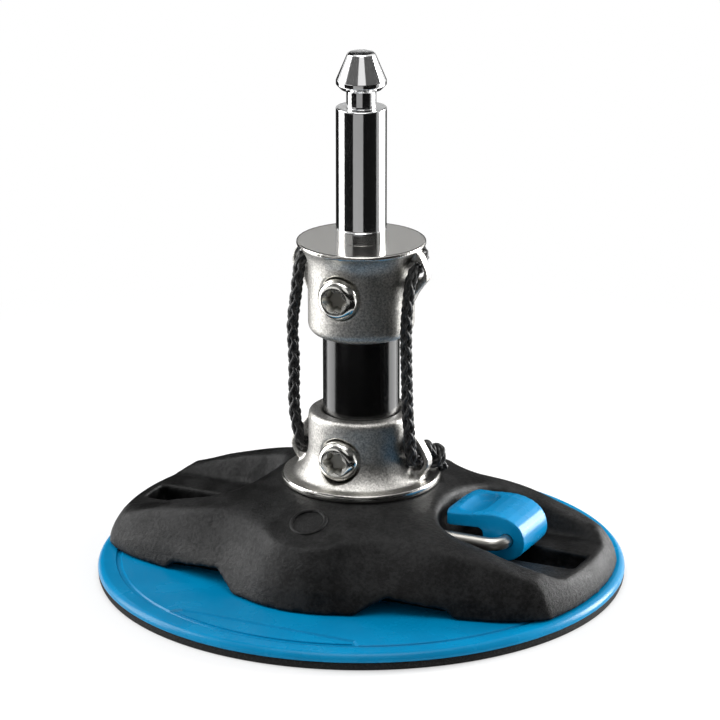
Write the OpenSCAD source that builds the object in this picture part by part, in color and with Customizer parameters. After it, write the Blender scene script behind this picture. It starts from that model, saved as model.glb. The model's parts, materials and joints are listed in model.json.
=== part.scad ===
// Mast foot: a flexible tendon joint with a mast pin, on a lever-operated suction disc.
// Millimetres, +Z up. The origin is the middle of the pad's underside, and the lever is on the +X side.

/* [Disc and pad] */
// Diameter of the disc and of the foam pad under it
disc_d = 160; // [156:1:176]
// Thickness of the disc
disc_t = 2.5; // [2:0.1:4]
// Rounding of the disc's upper rim
rim_round = 2.1; // [0.6:0.1:2.3]
// Width of the groove that runs round the disc
groove_w = 1.8; // [1:0.1:2.5]
// Depth of the groove
groove_depth = 0.5; // [0.2:0.1:1]
// Distance from the disc's edge to the middle of the groove
groove_inset = 6.4; // [5:0.1:7]
// Length of the bare panel inside the groove
panel_len = 55; // [30:1:60]
// Distance from the disc's middle to the panel
panel_in = 63.5; // [58:0.5:68]
// Thickness of the foam pad
pad_t = 2.5; // [2:0.1:5]
// Width of the foam pad's ring
pad_w = 18; // [12:0.5:24]

/* [Saddle] */
// Length of the saddle along the lever
saddle_len = 154; // [150:1:156]
// Width of the saddle across its middle
saddle_wid = 105.6; // [104:0.2:120]
// Height of the seat above the disc
saddle_h = 24.8; // [24.6:0.1:27]
// Thickness of the saddle over its cavity
roof_t = 3.5; // [3:0.1:4]
// Length of the cavity in the saddle's middle
cavity_len = 55; // [54:0.5:57]
// Width of the cavity in the saddle's middle
cavity_wid = 60; // [50:1:62]
// Rounding of the saddle's shoulder
shoulder_round = 2.4; // [1:0.1:4]
// Depth of the notches in the saddle's foot
notch_h = 5; // [3:0.1:6]

/* [Pockets] */
// Height of the ledge in each pocket above the disc
ledge_h = 9.3; // [8.5:0.1:9.6]
// Width of the slot in each ledge
slot_w = 12; // [8:0.5:13]
// Thickness of the floor under each slot
slot_floor = 3; // [2:0.1:5]

/* [Cups] */
// Outer diameter of both cups
cup_d = 31.8; // [31:0.1:33]
// Diameter of the lower cup's flange
flange_d = 48; // [46:0.5:49]
// Thickness of the lower cup's flange
flange_t = 2.3; // [2:0.1:3]
// Height of the lower cup
lower_cup_h = 22; // [20:0.5:24]
// Height of the upper cup
upper_cup_h = 28.6; // [28:0.1:31]
// Thickness of each cup's closed end
cup_floor = 4.5; // [4:0.1:5]
// Diameter of the plate on top of the upper cup
plate_d = 38.6; // [37:0.2:40]
// Thickness of that plate's edge
plate_t = 1.1; // [0.8:0.1:2]
// Thickness of the ears that hold the cord
ear_t = 3.6; // [3:0.1:4]
// Diameter of the hole in each ear
ear_hole_d = 5.5; // [4.6:0.1:5.8]

/* [Tendon] */
// Diameter of the tendon
tendon_d = 23; // [22:0.1:24]
// Length of tendon that shows between the cups
tendon_gap = 24.1; // [20:0.1:28]

/* [Mast pin] */
// Diameter of the mast pin
pin_d = 15; // [12:0.1:16]
// Length of the pin below its neck
pin_len = 40.4; // [30:0.1:50]
// Height of the joint line above the foot of the pin
pin_seam = 3.9; // [2:0.1:6]
// Diameter of the neck
neck_d = 8.8; // [8.6:0.1:10]
// Length of the neck
neck_len = 5.4; // [4:0.1:8]
// Height of the head above the neck
head_h = 10.9; // [9:0.1:14]
// Diameter of the head's flat tip
head_tip_d = 7.7; // [5:0.1:9]

/* [Cross bolts] */
// Thread diameter of the cross bolts
bolt_d = 8; // [7:0.1:8.4]
// Diameter of a bolt's head
bolt_head_d = 12.6; // [11.6:0.1:13]
// Height of a bolt's head
bolt_head_h = 4.4; // [3.6:0.1:5]
// Distance of a bolt below the open rim of its cup
bolt_rim = 11.9; // [11.2:0.1:13]
// Distance from the cup's axis to the flat under a bolt's head
spot_face = 14.2; // [13.8:0.1:14.8]
// Width of a nut across its flats
nut_af = 13; // [12:0.1:13.2]
// Height of a nut
nut_h = 7.4; // [6:0.1:8]

/* [Cord] */
// Diameter of the safety cord
cord_d = 3.5; // [3:0.1:3.8]

/* [Lever and bail] */
// Width of the lever's paddle
lever_w = 22.6; // [20:0.1:22.8]
// Width of the lever at its cam
cam_w = 17.2; // [14:0.1:18]
// Distance from the pocket's inner end to the lever's eye
eye_in = 20.2; // [20:0.1:21]
// Height of the lever's eye above the ledge
eye_h = 6.5; // [6.3:0.1:7.2]
// Distance from the lever's eye to its tip
lever_reach = 20.8; // [18:0.1:21.3]
// How much the cam lets the bail drop when the lever opens
cam_drop = 0.9; // [0.6:0.1:1]
// Diameter of the bail's rod
bail_d = 4; // [3.5:0.1:4.2]
// Distance between the middles of the bail's legs
bail_w = 28; // [27.6:0.1:28.6]
// Distance from the saddle's middle to the bail's pivot
pivot_x = 22; // [20:0.1:22.4]
// Bend radius of the bail's corners
bail_bend = 4.4; // [3.8:0.1:4.8]

/* [Lift] */
// Thread diameter of the stud in the disc
stud_d = 8; // [6:0.1:8.4]
// Diameter of the stud's flange
stud_flange_d = 32; // [24:1:40]
// Thickness of the stud's flange
stud_flange_t = 1.5; // [1:0.1:1.8]
// Thickness of the yoke
yoke_t = 3; // [2:0.1:4]

/* [Screws] */
// Thread diameter of the screws that hold the lower cup
cup_screw_d = 5; // [4:0.1:5.2]
// Thread diameter of the screws that hold the disc to the saddle
saddle_screw_d = 4; // [3:0.1:4.5]
// Thread diameter of the screw that holds the mast pin
pin_screw_d = 8; // [6:0.1:8.2]

/* [Clearances] */
// Radial clearance of a pivot
run_gap = 0.05; // [0.02:0.01:0.1]
// Clearance of a piece that is clamped or bonded in place
fit_gap = 0.05; // [0.02:0.01:0.1]
// Clearance between pieces that pass each other
pass_gap = 0.3; // [0.2:0.05:0.4]

/* [Hidden] */
$fn = 96;

// The saddle's lines are drawn for these sizes and scaled to the ones above
quarter_len = 77;
quarter_wid = 52.8;
quarter_h = 24.8;
scale_x = saddle_len / 2 / quarter_len;
scale_y = saddle_wid / 2 / quarter_wid;
scale_z = saddle_h / quarter_h;
// Where the floor of a pocket begins
pocket_in = 31.6;
eye_x = pocket_in * scale_x + eye_in;

// Heights of the stack, from the floor up
disc_top = pad_t + disc_t;
seat_z = disc_top + saddle_h;
roof_z = seat_z - roof_t;
ledge_z = disc_top + ledge_h;
eye_z = ledge_z + eye_h;
lower_rim = seat_z + lower_cup_h;
upper_rim = lower_rim + tendon_gap;
plate_z = upper_rim + upper_cup_h;
tendon_mid = (lower_rim + upper_rim) / 2;
lower_bolt_z = lower_rim - bolt_rim;
upper_bolt_z = upper_rim + bolt_rim + 2.5;
neck_z = plate_z + pin_len;
head_z = neck_z + neck_len;

disc_r = disc_d / 2;
cup_r = cup_d / 2;
tendon_r = tendon_d / 2;
pin_r = pin_d / 2;
bail_r = bail_d / 2;
bore_r = tendon_r + fit_gap;
roof_extra = 3;
roof_inside = plate_z - cup_floor - roof_extra;

// Points of an arc about [x, y], from angle a0 to angle a1
function arc(x, y, r, a0, a1, n = 8) =
    [for (i = [0 : n]) [x + r * cos(a0 + (a1 - a0) * i / n), y + r * sin(a0 + (a1 - a0) * i / n)]];

// A shape and its mirror image across X
module both_sides() {
    children();
    mirror([1, 0, 0]) children();
}

// A shape drawn in the XZ plane, given a thickness across Y
module slab_y(t) {
    rotate([90, 0, 0]) linear_extrude(height = t, center = true) children();
}

// A shaft along Y through [x, z]
module rod_y(x, z, r, y0, y1) {
    translate([x, y0, z]) rotate([-90, 0, 0]) cylinder(r = r, h = y1 - y0);
}

// ---- Disc and pad ----

module seal_pad() {
    color([0.03, 0.03, 0.03])
        difference() {
            cylinder(r = disc_r, h = pad_t, $fn = 180);
            translate([0, 0, -1]) cylinder(r = disc_r - pad_w, h = pad_t + 2, $fn = 180);
        }
}

// Places of the screws that come up through the disc
screw_spots = [for (sx = [-1, 1]) for (sy = [-1, 1]) for (p = [[61, 26], [15, 43]])
                   [sx * p[0] * scale_x, sy * p[1] * scale_y]];
screw_head_r = saddle_screw_d * 0.95;

module screw_cone(grow) {
    translate([0, 0, pad_t])
        cylinder(r1 = screw_head_r + grow, r2 = saddle_screw_d / 2 + grow, h = disc_t * 0.8);
}

panel_depth = 0.3;
module suction_disc() {
    groove_r = disc_r - groove_inset;
    profile = concat(
        [[stud_d / 2 + pass_gap, pad_t], [disc_r, pad_t]],
        arc(disc_r - rim_round, disc_top - rim_round, rim_round, 0, 90),
        [[groove_r + groove_w / 2, disc_top], [groove_r + groove_w / 2 - 0.3, disc_top - groove_depth],
         [groove_r - groove_w / 2 + 0.3, disc_top - groove_depth], [groove_r - groove_w / 2, disc_top],
         [stud_d / 2 + pass_gap, disc_top]]);
    color([0.0, 0.52, 0.76])
        difference() {
            rotate_extrude($fn = 180) polygon(profile);
            intersection() {
                translate([0, 0, disc_top - panel_depth]) cylinder(r = groove_r, h = 2, $fn = 180);
                linear_extrude(height = disc_top + 2)
                    polygon([[-panel_len / 2 - 4, -disc_r], [-panel_len / 2, -panel_in],
                             [panel_len / 2, -panel_in], [panel_len / 2 + 4, -disc_r]]);
            }
            for (p = screw_spots)
                translate([p[0], p[1], 0]) {
                    screw_cone(fit_gap);
                    cylinder(r = saddle_screw_d / 2 + fit_gap, h = disc_top + 1);
                }
        }
}

screw_len = 6;
module saddle_screws() {
    color([0.72, 0.73, 0.75])
        for (p = screw_spots)
            translate([p[0], p[1], 0])
                difference() {
                    union() {
                        screw_cone(0);
                        translate([0, 0, pad_t + disc_t * 0.5])
                            cylinder(r = saddle_screw_d / 2, h = disc_t * 0.5 + screw_len);
                    }
                    translate([0, 0, pad_t - 1]) cylinder(r = saddle_screw_d * 0.3, h = 2.2, $fn = 6);
                }
}

// ---- Saddle ----
// A quarter of the saddle, from the end at +X round to the middle of a long side. Each row is
// one line down the wall: [foot x, foot y, shoulder x, shoulder y, shoulder height over the foot].
quarter = [
    [79.0, 0.0, 78.0, 0.0, 12.0],
    [79.0, 9.0, 78.0, 9.0, 12.0],
    [78.4, 16.4, 77.4, 16.0, 12.2],
    [76.4, 21.4, 74.8, 20.6, 11.8],
    [73.4, 25.6, 71.0, 24.1, 11.3],
    [69.4, 29.4, 66.5, 26.8, 12.1],
    [64.6, 32.5, 61.4, 28.0, 13.9],
    [59.0, 34.8, 55.2, 28.5, 15.6],
    [52.5, 36.5, 49.0, 29.8, 17.0],
    [45.5, 38.3, 42.5, 30.9, 18.2],
    [37.5, 41.4, 35.2, 31.2, 19.1],
    [28.0, 45.0, 27.5, 31.4, 19.4],
    [20.0, 48.0, 20.2, 34.4, 19.3],
    [14.0, 50.2, 14.6, 38.0, 19.2],
    [9.0, 51.8, 10.4, 41.6, 19.1],
    [4.5, 52.6, 5.4, 43.4, 19.0],
    [0.0, 52.8, 0.0, 43.8, 19.0]];
q_last = len(quarter) - 1;

// All round: the quarter, then the same lines mirrored into the other three
function flip(row, sx, sy) = [sx * row[0], sy * row[1], sx * row[2], sy * row[3], row[4]];
lines = concat(
    [for (i = [0 : q_last]) flip(quarter[i], 1, 1)],
    [for (i = [q_last - 1 : -1 : 0]) flip(quarter[i], -1, 1)],
    [for (i = [1 : q_last]) flip(quarter[i], -1, -1)],
    [for (i = [q_last - 1 : -1 : 1]) flip(quarter[i], 1, -1)]);

// Those lines with one more between each two, on a smooth curve
function knot(i) = lines[(i + len(lines)) % len(lines)];
function mid_line(i) = (9 * (knot(i) + knot(i + 1)) - knot(i - 1) - knot(i + 2)) / 16;
ring_lines = [for (i = [0 : len(lines) - 1]) for (h = [0, 1]) h == 0 ? knot(i) : mid_line(i)];
ring_n = len(ring_lines);

seat_r = flange_d / 2 + 0.6;
seat_fillet = 3;
wall_bulge = 1.1;

function foot(l) = [l[0] * scale_x, l[1] * scale_y, disc_top];
function shoulder(l) = [l[2] * scale_x, l[3] * scale_y, disc_top + l[4] * scale_z];
function seat_point(l, r, z) = let (s = shoulder(l), d = norm([s[0], s[1]])) [s[0] * r / d, s[1] * r / d, z];
function toward(a, b, d) = a + (b - a) * min(0.45, d / norm(b - a));
// The top is fuller over the long lobes than over the short ones
function crown(l) = 0.7 * pow(min(1, abs(l[2]) / 60), 2);

function wall_line(l) =
    let (f = foot(l), s = shoulder(l), out = (f - seat_point(l, 1, disc_top)) / norm(f),
         top = seat_point(l, seat_r + seat_fillet, seat_z - 0.9),
         a = toward(s, f, shoulder_round), b = toward(s, top, shoulder_round),
         m = (s + top) / 2 + [0, 0, crown(l)])
    [f,
     f * 0.62 + a * 0.38 + out * wall_bulge,
     f * 0.28 + a * 0.72 + out * wall_bulge * 0.8,
     a,
     (a + 2 * s + b) / 4,
     b,
     (b + 3 * m) / 4,
     (top * 2 + m) / 3,
     top,
     seat_point(l, seat_r + seat_fillet * 0.4, seat_z - 0.55),
     seat_point(l, seat_r, seat_z)];

wall_lines = [for (l = ring_lines) wall_line(l)];
ring_count = len(wall_lines[0]);

module saddle_form() {
    points = concat(
        [for (k = [0 : ring_count - 1]) for (i = [0 : ring_n - 1]) wall_lines[i][k]],
        [[0, 0, disc_top], [0, 0, seat_z]]);
    low = ring_count * ring_n;
    faces = concat(
        [for (k = [0 : ring_count - 2]) for (i = [0 : ring_n - 1]) for (half = [0, 1])
            let (j = (i + 1) % ring_n, a = k * ring_n, b = a + ring_n)
            half == 0 ? [a + i, b + j, a + j] : [a + i, b + i, b + j]],
        [for (i = [0 : ring_n - 1]) [low, i, (i + 1) % ring_n]],
        [for (i = [0 : ring_n - 1]) let (a = (ring_count - 1) * ring_n)
            [low + 1, a + (i + 1) % ring_n, a + i]]);
    polyhedron(points, faces, convexity = 6);
}

// The dome that trims both ends of the saddle: [radius, height over the foot]
end_dome = [[78.0, -1], [77.8, 0], [77.5, 2.2], [76.9, 4.6], [75.8, 7.2], [74.4, 9.3], [72.8, 11.1],
            [71.0, 12.9], [69.0, 14.6], [66.6, 16.3], [63.5, 17.9], [56.0, 20.6], [40.0, 26.0]];
module end_trim() {
    rotate_extrude()
        polygon(concat([[0, disc_top - 1]], [for (p = end_dome) [p[0] * scale_x, disc_top + p[1] * scale_z]],
                       [[0, seat_z + 12]]));
}

// Half of a pocket, from its inner end to its outer end. Each row is one line up the pocket's wall:
// [rim x, rim y, rim height over the foot, floor x, floor y, rise and width of the strip outside the rim].
pocket_half = [
    [29.1, 0.0, 22.6, pocket_in, 0.0, 1.5, 1.5],
    [29.4, 6.0, 22.5, 31.8, 5.5, 1.5, 1.5],
    [30.5, 10.8, 22.0, 32.9, 9.5, 1.5, 1.5],
    [32.0, 14.6, 21.5, 34.5, 12.6, 1.5, 1.5],
    [34.4, 17.8, 20.7, 36.6, 15.0, 1.3, 1.7],
    [37.8, 19.8, 19.8, 39.3, 16.6, 1.1, 2.4],
    [42.0, 20.8, 18.8, 43.0, 17.3, 0.9, 4.5],
    [50.0, 21.4, 17.2, 50.0, 17.6, 0.6, 7.0],
    [57.0, 21.4, 15.6, 57.0, 17.7, 0.4, 8.0],
    [62.0, 20.9, 13.9, 61.6, 17.7, 0.8, 6.0],
    [66.0, 19.8, 12.1, 65.4, 17.4, 1.7, 3.6],
    [69.4, 18.2, 10.7, 69.0, 16.9, 1.6, 2.6],
    [72.4, 16.0, 9.8, 72.2, 15.6, 1.0, 2.2],
    [80.0, 13.2, 9.6, 80.0, 13.0, 0.6, 2.0],
    [80.0, 0.0, 9.6, 80.0, 0.0, 0.6, 2.0]];
p_last = len(pocket_half) - 1;
pocket_line = concat(
    [for (i = [p_last : -1 : 0]) pocket_half[i]],
    [for (i = [1 : p_last - 1]) [for (k = [0 : 6]) pocket_half[i][k] * ((k == 1 || k == 4) ? -1 : 1)]]);
pocket_middle = 52 * scale_x;

module pocket() {
    n = len(pocket_line);
    floor_ring = [for (p = pocket_line) [p[3] * scale_x, p[4], ledge_z]];
    rim_ring = [for (p = pocket_line) [p[0] * scale_x, p[1], disc_top + p[2] * scale_z]];
    strip_ring = [for (i = [0 : n - 1])
        let (p = rim_ring[i], q = rim_ring[(i + 1) % n], o = rim_ring[(i + n - 1) % n], d = q - o)
        p + pocket_line[i][6] * [d[1], -d[0], 0] / norm([d[0], d[1]]) + [0, 0, pocket_line[i][5]]];
    top_ring = [for (p = strip_ring) [p[0], p[1], seat_z + 20]];
    faces = concat(
        [for (k = [0 : 2]) for (i = [0 : n - 1]) for (half = [0, 1])
            let (j = (i + 1) % n, a = k * n, b = a + n)
            half == 0 ? [a + i, b + j, a + j] : [a + i, b + i, b + j]],
        [for (i = [0 : n - 1]) [4 * n, i, (i + 1) % n]],
        [for (i = [0 : n - 1]) [4 * n + 1, 3 * n + (i + 1) % n, 3 * n + i]]);
    polyhedron(concat(floor_ring, rim_ring, strip_ring, top_ring,
                      [[pocket_middle, 0, ledge_z], [pocket_middle, 0, seat_z + 20]]),
               faces, convexity = 4);
}

slot_in = 35.4;
slot_out = 71.8;
module slot() {
    translate([slot_in * scale_x, -slot_w / 2, disc_top + slot_floor])
        cube([(slot_out - slot_in) * scale_x, slot_w, ledge_h]);
}

// The long notches between the feet
notch_in = 19.5;
notch_out = 47.5;
notch_from = 33;
notch_to = 60;
module notches() {
    for (sx = [-1, 1]) for (sy = [-1, 1])
        scale([sx, sy, 1])
            translate([0, (notch_from + notch_to) / 2, disc_top])
                slab_y(notch_to - notch_from)
                    polygon([[notch_in, -1], [notch_in, 0], [notch_in + 8, notch_h],
                             [notch_out - 2.8, notch_h / 2], [notch_out, 0], [notch_out, -1]]);
}

// A shallow flat that falls towards each long side, with soft valleys beside it
facet_y = 37;
facet_w = 25;
facet_tilt = 22;
facet_drop = 4.5;
facet_flare = 1.9;
module side_facets() {
    for (s = [-1, 1])
        translate([0, s * facet_y * scale_y, seat_z - facet_drop * scale_z])
            rotate([-s * facet_tilt, 0, 0])
                hull()
                    for (h = [0, 1])
                        translate([0, 0, 10 * h])
                            scale([1 + h * (facet_flare - 1), 1, 1])
                                linear_extrude(height = 0.01)
                                    polygon([[-facet_w * 0.62, -10 * s], [facet_w * 0.55, -10 * s],
                                             [facet_w * 0.42, 9 * s], [-facet_w * 0.42, 9 * s]]);
}

bush_r = bail_r + 1.5;
bush_len = 5;
bush_y = 6;
lug_t = 2.2;

// The lugs that the bail's bushes snap into, hanging from the roof
module bush_lugs() {
    for (s = [-1, 1])
        difference() {
            translate([-pivot_x - bush_r - lug_t, s * bush_y - bush_len / 2, eye_z - bush_r - 0.6])
                cube([2 * (bush_r + lug_t), bush_len, roof_z + 0.5 - eye_z + bush_r + 0.6]);
            rod_y(-pivot_x, eye_z, bush_r + fit_gap, s * bush_y - bush_len, s * bush_y + bush_len);
            translate([-pivot_x - bush_r * 0.8, s * bush_y - bush_len, eye_z - bush_r - 2])
                cube([bush_r * 1.6, 2 * bush_len, bush_r + 1]);
        }
}

// The hollow under the seat: high over the clamp plate, lower over the bail, lowest at the sides
module cavity() {
    well = bail_w + bail_d + 5;
    linear_extrude(height = roof_z) rounded_box(plate_len + 3, well, 3);
    linear_extrude(height = eye_z + bush_r + pass_gap) rounded_box(cavity_len, well, 3);
    linear_extrude(height = roof_z - 7) rounded_box(cavity_len - 16, cavity_wid, 8);
}

module saddle() {
    color([0.07, 0.07, 0.075])
        difference() {
            union() {
                difference() {
                    intersection() {
                        saddle_form();
                        end_trim();
                    }
                    cavity();
                }
                bush_lugs();
            }
            both_sides() {
                pocket();
                slot();
            }
            notches();
            side_facets();
            // Where the bail's legs come through the pocket's inner end
            for (s = [-1, 1])
                translate([cavity_len / 2 - 1, s * bail_w / 2, eye_z - cam_drop / 2])
                    rotate([0, 90, 0]) cylinder(r = bail_r + pass_gap + cam_drop / 2, h = 14);
            for (p = screw_spots)
                translate([p[0], p[1], disc_top - 1])
                    cylinder(r = saddle_screw_d / 2 + fit_gap, h = screw_len + 1.5);
            for (p = cup_screw_spots)
                translate([p[0], p[1], roof_z - 1]) cylinder(r = cup_screw_d / 2 + pass_gap, h = roof_t + 2);
        }
}

module rounded_box(x, y, r) {
    for (sx = [-1, 1]) for (sy = [-1, 1])
        translate([sx * (x / 2 - r), sy * (y / 2 - r)]) circle(r = r, $fn = 32);
    square([x, y - 2 * r], center = true);
    square([x - 2 * r, y], center = true);
}

// ---- Fixing of the lower cup ----
cup_screw_spots = [for (sx = [-1, 1]) for (sy = [-1, 1]) [sx * flange_d * 0.23, sy * flange_d * 0.1125]];
plate_under_t = 2;
plate_len = 32;
cup_screw_head_r = cup_screw_d * 0.84;
cup_screw_head_h = cup_screw_d * 0.54;

module clamp_plate() {
    color([0.6, 0.61, 0.63])
        translate([0, 0, roof_z - plate_under_t])
            difference() {
                linear_extrude(height = plate_under_t) rounded_box(plate_len, bail_w - bail_d - 4.6, 3);
                for (p = cup_screw_spots)
                    translate([p[0], p[1], -1])
                        cylinder(r = cup_screw_d / 2 + pass_gap, h = plate_under_t + 2);
            }
}

module cup_screws() {
    z = roof_z - plate_under_t;
    color([0.72, 0.73, 0.75])
        for (p = cup_screw_spots)
            translate([p[0], p[1], 0])
                difference() {
                    union() {
                        translate([0, 0, z]) cylinder(r = cup_screw_d / 2, h = seat_z + cup_floor - 0.6 - z);
                        translate([0, 0, z - cup_screw_head_h])
                            cylinder(r1 = cup_screw_head_r * 0.7, r2 = cup_screw_head_r, h = cup_screw_head_h);
                    }
                    translate([0, 0, z - cup_screw_head_h - 1])
                        cylinder(r = cup_screw_d * 0.32, h = 2.4, $fn = 6);
                }
}

// ---- Cups ----

// An ear is a fin beside the cup: its outline is given from the cup's wall out, and from its bolt up
module ear(outline, hole) {
    inner = cup_r - 2;
    top = outline[0];
    bottom = outline[len(outline) - 1];
    slab_y(ear_t)
        difference() {
            polygon(concat([[inner, top[1]]], [for (p = outline) [cup_r + p[0], p[1]]],
                           [[inner, bottom[1]]]));
            translate([cup_r + hole[0], hole[1]]) circle(d = ear_hole_d, $fn = 40);
        }
}

lower_ear = [[-0.6, 9.9], [1.6, 7.0], [4.0, 4.3], [6.0, 1.1], [6.9, -0.9], [6.9, -2.9], [5.6, -5.3], [3.6, -7.9]];
lower_ear_hole = [2.55, -1.9];
upper_ear = [[2.6, 12.7], [3.8, 12.0], [5.1, 9.5], [6.2, 6.7], [6.1, 4.5], [4.1, 2.0], [2.5, -0.3],
             [1.2, -2.9], [-0.4, -5.4]];
upper_ear_hole = [2.4, 7.2];

module bolt_hole(z) {
    rod_y(0, z, bolt_d / 2 + pass_gap / 2, -cup_r - 10, cup_r + 10);
    rod_y(0, z, bolt_head_d / 2 + 0.4, -cup_r - 10, -spot_face);
    translate([-nut_af * 0.63, spot_face, z - nut_af / 2 - pass_gap])
        cube([nut_af * 1.26, 10, nut_af + 2 * pass_gap]);
}

flare_lower = 8.6;
flare_upper = 7;
// Radius of the arc that leaves the cup's wall upright and reaches dr further out over a height h
function flare_r(dr, h) = (dr * dr + h * h) / 2 / dr;

module lower_cup() {
    foot_r = flange_d / 2 - 3.7;
    flare_z = seat_z + flange_t;
    fr = flare_r(foot_r - cup_r, flare_lower);
    sweep = asin(flare_lower / fr);
    profile = concat(
        [[0, seat_z], [flange_d / 2 - 0.3, seat_z], [flange_d / 2, seat_z + 0.3], [flange_d / 2, flare_z - 0.3],
         [flange_d / 2 - 0.3, flare_z]],
        arc(cup_r + fr, flare_z + flare_lower, fr, 180 + sweep, 180),
        arc(cup_r - 1.6, lower_rim - 1.6, 1.6, 0, 90, 6),
        arc(bore_r + 0.8, lower_rim - 0.8, 0.8, 90, 180, 4),
        [[bore_r, seat_z + cup_floor], [0, seat_z + cup_floor]]);
    color([0.66, 0.67, 0.68])
        difference() {
            union() {
                rotate_extrude() polygon(profile);
                both_sides() translate([0, 0, lower_bolt_z]) ear(lower_ear, lower_ear_hole);
            }
            bolt_hole(lower_bolt_z);
            for (p = cup_screw_spots)
                translate([p[0], p[1], seat_z - 1]) cylinder(r = cup_screw_d / 2 + fit_gap, h = cup_floor + 0.6);
        }
}

module upper_cup() {
    plate_r = plate_d / 2;
    flare_z = plate_z - plate_t;
    fr = flare_r(plate_r - 0.2 - cup_r, flare_upper);
    sweep = asin(flare_upper / fr);
    profile = concat(
        [[0, roof_inside], [bore_r, roof_inside]],
        arc(bore_r + 0.8, upper_rim + 0.8, 0.8, 180, 270, 4),
        arc(cup_r - 3.4, upper_rim + 3.4, 3.4, -90, 0),
        arc(cup_r + fr, flare_z - flare_upper, fr, 180, 180 - sweep),
        [[plate_r, flare_z], [plate_r, plate_z - 0.2], [plate_r - 0.2, plate_z], [0, plate_z]]);
    color([0.66, 0.67, 0.68])
        difference() {
            union() {
                rotate_extrude() polygon(profile);
                both_sides() translate([0, 0, upper_bolt_z]) ear(upper_ear, upper_ear_hole);
            }
            bolt_hole(upper_bolt_z);
            translate([0, 0, roof_inside - 1]) cylinder(r = pin_screw_d / 2 + pass_gap, h = cup_floor + 6);
            translate([0, 0, roof_inside - 0.01])
                cylinder(r1 = pin_screw_d * 0.9, r2 = pin_screw_d / 2, h = pin_screw_d * 0.5);
        }
}

module tendon() {
    low = seat_z + cup_floor + pass_gap;
    high = roof_inside - pass_gap;
    color([0.02, 0.02, 0.022])
        difference() {
            rotate_extrude()
                polygon([[0, low], [tendon_r - 1, low], [tendon_r, low + 1], [tendon_r, high - 1],
                         [tendon_r - 1, high], [0, high]]);
            for (z = [lower_bolt_z, upper_bolt_z])
                rod_y(0, z, bolt_d / 2 + fit_gap, -tendon_r - 1, tendon_r + 1);
        }
}

// ---- Cross bolts ----
star_r = bolt_head_d * 0.29;

module star(r) {
    difference() {
        circle(r = r, $fn = 48);
        for (i = [0 : 5]) rotate(i * 60 + 30) translate([r * 1.02, 0]) circle(r = r * 0.3, $fn = 24);
    }
}

module cross_bolt(z) {
    hr = bolt_head_d / 2;
    dome = bolt_head_h - 1.6;
    color([0.78, 0.79, 0.8])
        translate([0, -spot_face, z])
            rotate([90, 0, 0])
                difference() {
                    union() {
                        rotate_extrude()
                            polygon(concat([[0, 0], [hr - 0.3, 0], [hr, 0.3], [hr, 1.6]],
                                           [for (i = [1 : 6]) [hr - (hr - star_r - 1) * (1 - cos(i * 15)),
                                                               1.6 + dome * sin(i * 15)]],
                                           [[0, bolt_head_h]]));
                        translate([0, 0, -2 * spot_face - nut_h - 1])
                            cylinder(r = bolt_d / 2, h = 2 * spot_face + nut_h + 1.5);
                    }
                    translate([0, 0, bolt_head_h - 2.6]) linear_extrude(height = 4) star(star_r);
                }
}

module lock_nut(z) {
    color([0.75, 0.76, 0.78])
        translate([0, spot_face, z])
            rotate([-90, 0, 0])
                difference() {
                    intersection() {
                        cylinder(r = nut_af / 2 / cos(30), h = nut_h, $fn = 6);
                        rotate_extrude()
                            polygon([[0, 0], [nut_af / 2 * 1.08, 0], [nut_af / 2 / cos(30), 0.6],
                                     [nut_af / 2 / cos(30), nut_h - 2.6], [nut_af / 2 * 0.98, nut_h - 1.8],
                                     [nut_af / 2 * 0.86, nut_h], [0, nut_h]]);
                    }
                    translate([0, 0, -1]) cylinder(r = bolt_d / 2 + fit_gap, h = nut_h + 2);
                }
}

// ---- Mast pin ----
seam_r = 0.25;
module mast_pin() {
    neck_r = neck_d / 2;
    tip_r = head_tip_d / 2;
    color([0.8, 0.81, 0.82])
        difference() {
            rotate_extrude()
                polygon([[0, plate_z], [pin_r, plate_z], [pin_r, plate_z + pin_seam - seam_r],
                         [pin_r - seam_r, plate_z + pin_seam], [pin_r, plate_z + pin_seam + seam_r],
                         [pin_r, neck_z - 0.4],
                         [pin_r - 0.4, neck_z], [neck_r, neck_z], [neck_r, head_z], [neck_r + 1.6, head_z],
                         [pin_r - 0.05, head_z + 1.5], [pin_r - 0.05, head_z + 2.7], [tip_r + 0.4, head_z + head_h - 0.6],
                         [tip_r, head_z + head_h], [0, head_z + head_h]]);
            translate([0, 0, plate_z - 1]) cylinder(r = pin_screw_d / 2 + fit_gap, h = pin_screw_grip + 3);
        }
}

pin_screw_grip = 12;
module pin_screw() {
    color([0.7, 0.71, 0.73])
        difference() {
            union() {
                translate([0, 0, roof_inside])
                    cylinder(r1 = pin_screw_d * 0.9 - fit_gap, r2 = pin_screw_d / 2 - fit_gap, h = pin_screw_d * 0.5);
                translate([0, 0, roof_inside]) cylinder(r = pin_screw_d / 2, h = plate_z - roof_inside + pin_screw_grip);
            }
            translate([0, 0, roof_inside - 1]) cylinder(r = pin_screw_d * 0.36, h = 4, $fn = 6);
        }
}

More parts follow.
